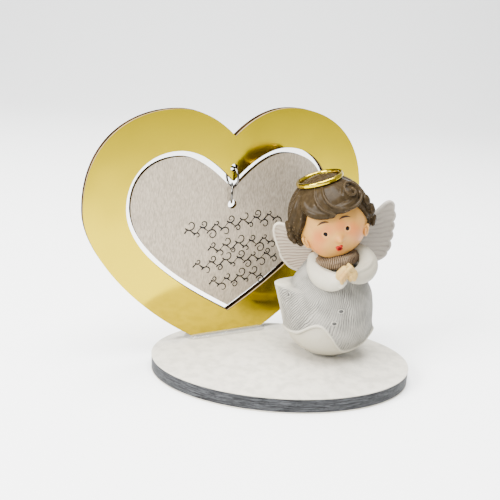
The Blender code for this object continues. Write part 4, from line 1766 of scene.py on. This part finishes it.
@dataclass
class Head:
    """The round head: sculpted cheeks, nose and ears, and a painted face."""

    place: FigurePlace
    egg: Egg
    middle: float = -10.0  # longitude of the face's midline
    eye_spread: float = 18.6
    eye_rise: float = -4.6
    brow: tuple[tuple[float, float, float], ...] = (
        (28.5, 10.6, 0.14),
        (22.0, 13.4, 0.32),
        (15.0, 14.3, 0.34),
        (9.0, 13.2, 0.18),
    )
    swellings: tuple[tuple[float, float, float, float], ...] = (
        (-38.0, -24.0, 20.0, 1.0),
        (38.0, -24.0, 20.0, 0.6),
        (-34.0, -46.0, 16.0, 0.9),
        (2.0, -15.5, 5.8, 1.55),
        (2.0, -18.5, 4.0, 0.45),
        (0.0, -50.0, 14.0, 0.5),
        (-18.6, -4.0, 9.0, -0.28),
        (18.6, -4.0, 9.0, -0.28),
        (-0.5, -31.5, 7.5, 0.35),
    )

    def paint(self) -> SkinPaint:
        """The skin, blushed at the cheeks, round the eyes and on the nose.

        Returns:
            The finish.
        """
        warm, rosy = (0.36, 0.085, 0.014), (0.37, 0.095, 0.022)
        places = (
            (-29.0, -7.0, 4.0, warm, 0.75),
            (-12.0, 2.0, 3.4, warm, 0.60),
            (26.0, -8.0, 4.0, warm, 0.70),
            (8.0, 3.0, 3.4, warm, 0.65),
            (2.0, -16.0, 2.4, warm, 0.55),
            (-42.0, -24.0, 5.0, rosy, 0.60),
            (40.0, -22.0, 5.0, rosy, 0.55),
            (-2.0, -40.0, 2.6, warm, 0.35),
            (-18.6, -4.6, 1.5, (0.52, 0.28, 0.09), 0.8),
            (18.6, -4.6, 1.5, (0.52, 0.28, 0.09), 0.8),
        )
        spots = tuple(
            Spot(tuple(self.egg.point(self.middle + east, north)), radius, colour, strength)
            for east, north, radius, colour, strength in places
        )
        return SkinPaint("face_satin", (0.385, 0.19, 0.040), 0.40, coat=0.03, spots=spots)

    def build(self) -> None:
        """Makes the head, then paints the face on it."""
        bm = bmesh.new()
        bmesh.ops.create_uvsphere(bm, u_segments=160, v_segments=110, radius=1)
        for vert in bm.verts:
            east, north = self.egg.angles(vert.co)
            vert.co = self.egg.point(east, north, self.swell(east, north) * MM)
        for side in Side:
            self.add_ear(bm, side)
        rope(bm, self.place.knots((-0.6, 0.5, 35.6, 4.4), (-0.5, 0.5, 41.5, 4.6)), 4, 36)
        add_piece("head_painted", bm, [self.paint()], Body.STAND, ["head"], sharp=80)
        self.build_eyes()
        self.build_brows()
        self.build_mouth()

    def swell(self, east: float, north: float) -> float:
        """How far the sculpted face stands off the egg, in millimetres.

        Args:
            east: longitude in degrees.
            north: latitude in degrees.

        Returns:
            The height.
        """
        total = 0.0
        for centre, level, width, amount in self.swellings:
            total += amount * hump(self.apart(east, north, self.middle + centre, level), 0, width)
        return total

    def apart(self, east: float, north: float, other_east: float, other_north: float) -> float:
        """The angle in degrees between two places on the head."""
        cosine = self.egg.local(east, north).dot(self.egg.local(other_east, other_north))
        return math.degrees(math.acos(max(-1.0, min(1.0, cosine))))

    def add_ear(self, bm: bmesh.types.BMesh, side: Side) -> None:
        """A small ear: a curled rim round a hollow.

        Args:
            bm: where it is added.
            side: which ear it is.
        """
        east, north = (-68.5, -15.5) if side is Side.RIGHT else (47.5, -21.0)
        where = self.egg.frame(east, north, 0.2 * MM)
        knots = []
        for i in range(9):
            angle = math.pi * (0.62 + 1.5 * i / 8) if side is Side.RIGHT else math.pi * (0.38 - 1.5 * i / 8)
            reach = Vector((0.95 * math.cos(angle), -0.55, 1.75 * math.sin(angle))) * MM
            knots.append((*(where @ reach), (0.58 - 0.025 * i) * MM))
        rope(bm, knots, 4, 14)
        lobe = bmesh.ops.create_icosphere(bm, subdivisions=3, radius=1)["verts"]
        bmesh.ops.scale(bm, vec=Vector((1.0, 0.6, 1.7)) * MM, verts=lobe)
        bmesh.ops.transform(bm, matrix=where, verts=lobe)

    def add_bead(
        self, bm: bmesh.types.BMesh, east: float, north: float, size: tuple[float, float, float], lift: float
    ) -> None:
        """A flattened bead set into the face.

        Args:
            bm: where it is added.
            east: its longitude from the face's midline.
            north: its latitude.
            size: its half width, half depth and half height in millimetres.
            lift: in millimetres off the skin.
        """
        made = bmesh.ops.create_uvsphere(bm, u_segments=28, v_segments=18, radius=1)["verts"]
        bmesh.ops.scale(bm, vec=Vector(size) * MM, verts=made)
        height = (lift + self.swell(self.middle + east, north)) * MM
        bmesh.ops.transform(bm, matrix=self.egg.frame(self.middle + east, north, height), verts=made)

    def build_eyes(self) -> None:
        """Two round black eyes."""
        bm = bmesh.new()
        for side in Side:
            self.add_bead(bm, side.value * self.eye_spread, self.eye_rise, (0.86, 0.36, 0.94), -0.18)
        black = PlainPaint("eye_paint", (0.002, 0.0015, 0.002), 0.12, gloss=0.06)
        add_piece("eyes", bm, [black], Body.STAND)

    def build_brows(self) -> None:
        """Two thin arched brows."""
        bm = bmesh.new()
        for side in Side:
            knots = []
            for east, north, radius in self.brow:
                place = self.middle + side.value * east
                spot = self.egg.point(place, north, (self.swell(place, north) - 0.12) * MM)
                knots.append((*spot, radius * MM))
            rope(bm, knots, 8, 10)
        brown = PlainPaint("brow_paint", (0.035, 0.014, 0.004), 0.5)
        add_piece("brows", bm, [brown], Body.STAND)

    def build_mouth(self) -> None:
        """A small open mouth: red lips, and a darker hollow between them."""
        lips, hollow = bmesh.new(), bmesh.new()
        self.add_bead(lips, -4.6, -30.2, (0.74, 0.42, 0.68), -0.08)
        self.add_bead(lips, 0.8, -29.7, (0.74, 0.42, 0.68), -0.08)
        self.add_bead(lips, -2.3, -34.2, (1.05, 0.48, 0.76), -0.10)
        self.add_bead(hollow, -2.0, -31.9, (0.70, 0.40, 0.58), 0.20)
        red = PlainPaint("lip_paint", (0.30, 0.012, 0.007), 0.4, gloss=0.08)
        dark = PlainPaint("mouth_paint", (0.07, 0.002, 0.002), 0.4, gloss=0.05)
        add_piece("lips", lips, [red], Body.STAND)
        add_piece("mouth_hollow", hollow, [dark], Body.STAND)


@dataclass
class Hair:
    """The sculpted hair: a combed cap, a swept fringe with a big curl, and small curls at the sides."""

    egg: Egg
    hairline: tuple[Flat, ...] = (
        (-62, 25.0), (-48, 22.0), (-36, 15.5), (-26, 12.2), (-12, 9.4), (-6, 9.0), (-3.5, 11.5), (0, 13.0),
        (10, 11.6), (22, 11.2), (32, 13.0), (44, 16.0),
    )
    right_edge: tuple[Flat, ...] = (
        (-45, -88.0), (-22, -82.0), (-6, -66.0), (6, -55.0), (22, -49.5), (30, -46.0)
    )
    left_edge: tuple[Flat, ...] = ((-45, 66.0), (-20, 58.0), (-6, 46.0), (2, 42.0), (12, 36.0), (20, 32.0))
    voxel: float = 0.21 * MM
    paint: HairPaint = HairPaint("hair_gloss", (0.0205, 0.0135, 0.0064), 0.27, coat=0.02, gloss=0.03)

    def bare(self, east: float, north: float) -> float:
        """How far inside the bare face or nape a place lies, in degrees. It is negative under the hair.

        Args:
            east: longitude in degrees.
            north: latitude in degrees.

        Returns:
            The distance.
        """
        below = through(self.hairline, east) - north
        face = min(below, east - through(self.right_edge, north), through(self.left_edge, north) - east)
        nape = -34.0 + 2.5 * math.sin(math.radians(6 * east)) - north
        return max(face, nape)

    def swell(self, east: float, north: float) -> float:
        """How far the combed hair stands off the egg in millimetres, without its strands and edges."""
        return 0.35 + 1.35 * hump(east, -8, 52) * rise(62 - north, 0, 34)

    def lift(self, east: float, north: float) -> float:
        """How far the hair stands off the egg in millimetres. It is negative inside the head.

        Args:
            east: longitude in degrees.
            north: latitude in degrees.

        Returns:
            The height of the sculpted surface.
        """
        front = hump(east, -8, 52)
        proud = self.swell(east, north)
        sweep_line = east + 26 + 0.010 * (north - 60) ** 2
        comb = math.sin(math.radians(11 * sweep_line)) * front
        back = math.sin(math.radians(14 * east + 70 * math.sin(math.radians(1.6 * north)))) * (1 - front)
        fade = rise(82 - abs(north), 0, 22)
        strands = (0.06 * comb + 0.13 * back) * fade
        return proud + strands - (proud + 3.4) * rise(self.bare(east, north), -2.2, 2.0)

    def ridge(self, bm: bmesh.types.BMesh, knots: Sequence[Sequence[float]], steps: int = 8) -> None:
        """Adds a strand that lies on the hair.

        Args:
            bm: where it is added.
            knots: (longitude, latitude, rise above the combed hair, radius), the last two in millimetres.
            steps: points for each stretch.
        """
        path = smooth_path(knots, steps)
        places = [self.egg.point(p[0], p[1], (p[2] + self.swell(p[0], p[1])) * MM) for p in path]
        sweep(bm, places, [p[3] * MM for p in path], 12)

    def curl(
        self, bm: bmesh.types.BMesh, east: float, north: float, size: float, lift: float, hand: int
    ) -> None:
        """Adds a small coiled curl.

        Args:
            bm: where it is added.
            east: its longitude.
            north: its latitude.
            size: the radius of its outer turn in millimetres.
            lift: how far its middle stands off the egg in millimetres.
            hand: 1 or -1, the way it winds.
        """
        where = self.egg.frame(east, north, lift * MM)
        path, widths = [], []
        for i in range(26):
            share = i / 25
            angle = hand * (0.4 + share * math.tau * 1.35)
            radius = size * (1 - 0.80 * share)
            coil = Vector((radius * math.cos(angle), -0.7 * share, radius * math.sin(angle)))
            path.append(where @ (coil * MM))
            widths.append(size * (0.36 - 0.12 * share) * MM)
        sweep(bm, path, widths, 12)
        core = bmesh.ops.create_icosphere(bm, subdivisions=3, radius=1)["verts"]
        bmesh.ops.scale(bm, vec=Vector((size, 0.6 * size, size)) * MM, verts=core)
        bmesh.ops.transform(bm, matrix=where, verts=core)

    def build(self) -> None:
        """Makes the cap, the fringe, the big curl and the side curls, and melts them together."""
        bm = bmesh.new()
        bmesh.ops.create_icosphere(bm, subdivisions=6, radius=1)
        for vert in bm.verts:
            east, north = self.egg.angles(vert.co)
            vert.co = self.egg.point(east, north, self.lift(east, north) * MM)
        self.add_fringe(bm)
        self.add_sides(bm)
        skin = fused(bm, self.voxel, 1)
        add_piece(
            "hair_sculpted", skin, [self.paint], Body.STAND,
            ["hair", "hair_fringe", "hair_lock_left", "hair_lock_right"], sharp=180,
        )

    def add_fringe(self, bm: bmesh.types.BMesh) -> None:
        """The two long strands of the fringe, and the curl that the longer one ends in.

        Args:
            bm: where they are added.
        """
        self.ridge(
            bm, [(-30, 60, -0.1, 0.3), (-28, 40, 0.15, 0.36), (-19, 23, 0.25, 0.42), (-5, 14.0, 0.1, 0.36)]
        )
        self.ridge(
            bm,
            [(-12, 60, -0.1, 0.3), (-13, 40, 0.15, 0.36), (-7, 26, 0.45, 0.45), (5, 17.6, 0.8, 0.5)]
            + [(17, 14.8, 1.0, 0.52), (28, 16.0, 1.2, 0.52), (39, 21, 1.3, 0.52), (45, 31, 1.4, 0.52)]
            + [(40, 41, 1.6, 0.5), (30, 44, 1.8, 0.5), (20.5, 40, 1.9, 0.48), (18.5, 32.5, 2.0, 0.46)]
            + [(23.5, 27.5, 2.0, 0.45), (30.5, 29.0, 2.05, 0.42), (30, 34.5, 2.05, 0.38)],
        )
        self.ridge(bm, [(-52, 40, -0.9, 1.0), (-46, 29, -0.7, 1.5), (-32, 20, -0.7, 1.6), (-16, 15, -0.7, 1.2)])
        self.ridge(bm, [(-4, 20, -0.9, 1.4), (10, 18.5, -0.6, 1.8), (24, 21, -0.4, 1.8), (34, 28, -0.3, 1.7)])
        dome = self.egg.frame(28.5, 31.5, 0.9 * MM)
        made = bmesh.ops.create_icosphere(bm, subdivisions=4, radius=1)["verts"]
        bmesh.ops.scale(bm, vec=Vector((3.3, 1.7, 3.1)) * MM, verts=made)
        bmesh.ops.transform(bm, matrix=dome, verts=made)

    def add_sides(self, bm: bmesh.types.BMesh) -> None:
        """The locks that fall past the ears, with a row of curls from temple to temple round the nape.

        Args:
            bm: where they are added.
        """
        self.ridge(bm, [(-68, 44, -0.7, 1.2), (-70, 24, -0.6, 1.6), (-80, 8, -0.5, 1.7), (-90, -8, -0.4, 1.6)])
        self.ridge(bm, [(66, 40, -0.6, 1.2), (56, 24, -0.3, 1.4), (54, 10, -0.2, 1.5), (62, -10, -0.2, 1.5)])
        for east, north, size, lift, hand in (
            (-83, 4, 1.7, 1.4, 1),
            (-91, -13, 2.3, 1.2, -1),
            (50, 15, 1.7, 1.6, -1),
            (57, -2, 1.8, 1.6, 1),
            (66, -18, 2.0, 1.5, -1),
            (-106, -8, 2.2, 0.8, 1),
            (-108, -27, 2.1, 0.5, -1),
            (-136, -24, 2.3, 0.6, 1),
            (-164, -27, 2.3, 0.6, -1),
            (168, -26, 2.3, 0.6, 1),
            (140, -25, 2.3, 0.6, -1),
            (112, -26, 2.2, 0.5, 1),
            (86, -10, 2.1, 0.6, -1),
            (84, -28, 2.0, 0.4, 1),
        ):
            self.curl(bm, east, north, size, lift, hand)


@dataclass
class Halo:
    """The gold band set on the crown."""

    egg: Egg
    rise: float = 12.8 * MM
    radius: float = 7.25 * MM
    gold: GoldPaint = GoldPaint("band_gold", (0.52, 0.38, 0.02), 0.16, metallic=1.0)

    def build(self) -> None:
        """Makes the band with rounded rims and turns it with the head."""
        section = [(0.55, -0.75), (0.8, -0.3), (0.75, 0.5), (0.35, 0.85), (-0.3, 0.8), (-0.6, 0.3)]
        section.append((-0.6, -0.5))
        bm = wire_ring(self.radius, soft_section(section, 5), 120)
        shift(bm, (0, 0, self.rise))
        carry(bm, Matrix.Translation(self.egg.centre) @ self.egg.turn)
        add_piece("halo_band", bm, [self.gold], Body.STAND, ["halo"])


@dataclass
class Angel:
    """The whole figure."""

    place: FigurePlace
    lean: float = math.radians(-19)
    turn: float = math.radians(12)

    def egg(self, centre: tuple[float, float, float], radii: tuple[float, float, float]) -> Egg:
        """An egg that leans with the head.

        Args:
            centre: in millimetres from the foot.
            radii: in millimetres.

        Returns:
            The egg.
        """
        tilt = Matrix.Rotation(self.lean, 4, "Y") @ Matrix.Rotation(self.turn, 4, "Z")
        return Egg(self.place.at(*centre), Vector(radii) * MM, tilt)

    def build(self) -> None:
        """Makes every part of the figure."""
        Robe(self.place).build()
        Collar(self.place).build()
        Arms(self.place).build()
        self.build_wings()
        Head(self.place, self.egg((-1.8, 0.5, 49.3), (11.8, 12.0, 12.6))).build()
        crown = self.egg((-2.7, 1.7, 50.6), (13.4, 13.4, 13.7))
        Hair(crown).build()
        Halo(crown).build()

    def build_wings(self) -> None:
        """Makes the two wings, whose visible faces differ in carving and wash; the left wing's colours are set
        darker as painted shade.
        """
        Wing(
            self.place,
            Side.RIGHT,
            ((-7.5, 26.8), (-4.0, 31.0), (-3.6, 39.0), (-9.0, 42.6), (-14.8, 43.3), (-17.2, 44.1))
            + ((-19.4, 44.3), (-20.8, 43.0), (-21.0, 40.6), (-19.8, 36.8), (-18.2, 33.2)),
            ((-18.2, 33.2), (-15.6, 29.2), (-12.0, 26.9), (-7.5, 26.8)),
            hinge=-4.0,
            angle=math.radians(-4),
            root=(8.0, 37.0),
            colour=(0.36, 0.295, 0.22),
            wash=(0.12, 0.062, 0.045),
            clean=(0.40, 0.35, 0.27),
            stain=0.45,
            per_radian=200.0,
            bulge=0.12,
        ).build()
        Wing(
            self.place,
            Side.LEFT,
            ((17.2, 32.0), (10.0, 31.4), (4.6, 34.0), (4.4, 41.0), (8.0, 46.6), (13.4, 49.6), (15.6, 51.8))
            + ((17.6, 53.8), (19.4, 54.5), (21.0, 53.4), (21.3, 50.6)),
            ((21.3, 50.6), (21.4, 46.9), (21.4, 43.4), (21.1, 39.8), (20.5, 35.6), (17.2, 32.0)),
            hinge=4.0,
            angle=math.radians(6),
            root=(-4.0, 38.0),
            # painted shade: the left wing stands in shade, so its colours are set darker than the right wing's
            colour=(0.215, 0.190, 0.155),
            wash=(0.11, 0.092, 0.08),
            clean=(0.25, 0.225, 0.19),
            stain=0.35,
            per_radian=120.0,
            bulge=0.20,
        ).build()


# ---------------------------------------------------------------- the room


@dataclass
class Studio:
    """The floor, the lights and the camera."""

    eye: tuple[float, float, float] = (-0.01261, -0.22094, 0.11992)
    pitch: float = math.radians(18.873)
    roll: float = math.radians(3.342)
    lens: float = 50.4
    bend_at: float = 0.60
    bend_radius: float = 0.6
    paper: Colour = (0.86, 0.865, 0.86)
    air: Colour = (0.94, 0.96, 0.97)
    air_strength: float = 0.80

    def build_floor(self) -> None:
        """A wide sheet of pale paper that curves up behind."""
        bm = bmesh.new()
        bmesh.ops.create_grid(bm, x_segments=8, y_segments=160, size=4.0)
        for vert in bm.verts:
            past = vert.co.y - self.bend_at
            if past > 0:
                angle = min(past / self.bend_radius, math.radians(80))
                straight = past - angle * self.bend_radius
                vert.co.y = self.bend_at + self.bend_radius * math.sin(angle) + straight * math.cos(angle)
                vert.co.z = self.bend_radius * (1 - math.cos(angle)) + straight * math.sin(angle)
        for face in bm.faces:
            face.smooth = True
        mesh = bpy.data.meshes.new("floor")
        bm.to_mesh(mesh)
        bm.free()
        floor = put_in_scene("floor", mesh)
        graph = Graph("floor_paper")
        graph.paint("Base Color", (*self.paper, 1))
        graph.paint("Roughness", 0.7)
        graph.paint("Specular IOR Level", 0.2)
        mesh.materials.append(graph.material)

    def add_light(
        self, name: str, place: Sequence[float], aim: Sequence[float], size: float, power: float
    ) -> None:
        """A square soft light.

        Args:
            name: the light's name.
            place: where it hangs.
            aim: what it points at.
            size: the length of its sides.
            power: in watts.
        """
        lamp = bpy.data.lights.new(name, "AREA")
        lamp.size = size
        lamp.energy = power
        holder = put_in_scene(name, lamp)
        holder.location = place
        holder.rotation_euler = (Vector(aim) - Vector(place)).to_track_quat("-Z", "Y").to_euler()

    def build_camera(self) -> None:
        """The camera, looking down a little and slightly rolled."""
        forward = Vector((0, math.cos(self.pitch), -math.sin(self.pitch)))
        upward = Vector((0, math.sin(self.pitch), math.cos(self.pitch)))
        right = Vector((1, 0, 0))
        x_axis = math.cos(self.roll) * right + math.sin(self.roll) * upward
        y_axis = math.cos(self.roll) * upward - math.sin(self.roll) * right
        lens = bpy.data.cameras.new("camera")
        lens.lens = self.lens
        lens.sensor_width = 36
        lens.clip_start = 0.01
        camera = put_in_scene("camera", lens)
        axes = Matrix((x_axis, y_axis, -forward)).transposed().to_4x4()
        camera.matrix_world = Matrix.Translation(self.eye) @ axes
        bpy.context.scene.camera = camera

    def build(self) -> None:
        """Makes the room."""
        self.build_floor()
        self.add_light("overhead", (-0.05, -0.05, 0.75), (0, 0, 0), size=0.6, power=31.0)
        self.add_light("front", (-0.75, -0.55, 0.60), (0, 0, 0.03), size=0.45, power=36.0)
        world = bpy.data.worlds.new("room")
        world.use_nodes = True
        background = world.node_tree.nodes["Background"]
        background.inputs["Color"].default_value = (*self.air, 1)
        background.inputs["Strength"].default_value = self.air_strength
        bpy.context.scene.world = world
        self.build_camera()


def main() -> None:
    """Builds the ornament from the board up, then the room round it."""
    logging.basicConfig(level=logging.INFO, format="%(relativeCreated)d ms: %(message)s")
    Board().build()
    hearts = HeartPlace()
    GoldHeart(hearts).build()
    JumpRing(
        hearts, "ring_upper", Body.UPPER_RING, height=58.6 * MM, radius=3.45 * MM, turn=math.radians(12)
    ).build()
    JumpRing(
        hearts, "ring_lower", Body.LOWER_RING, height=52.7 * MM, radius=3.4 * MM, turn=math.radians(-22)
    ).build()
    SilverHeart(hearts).build()
    Angel(FigurePlace()).build()
    Studio().build()


if __name__ == "__main__":
    main()
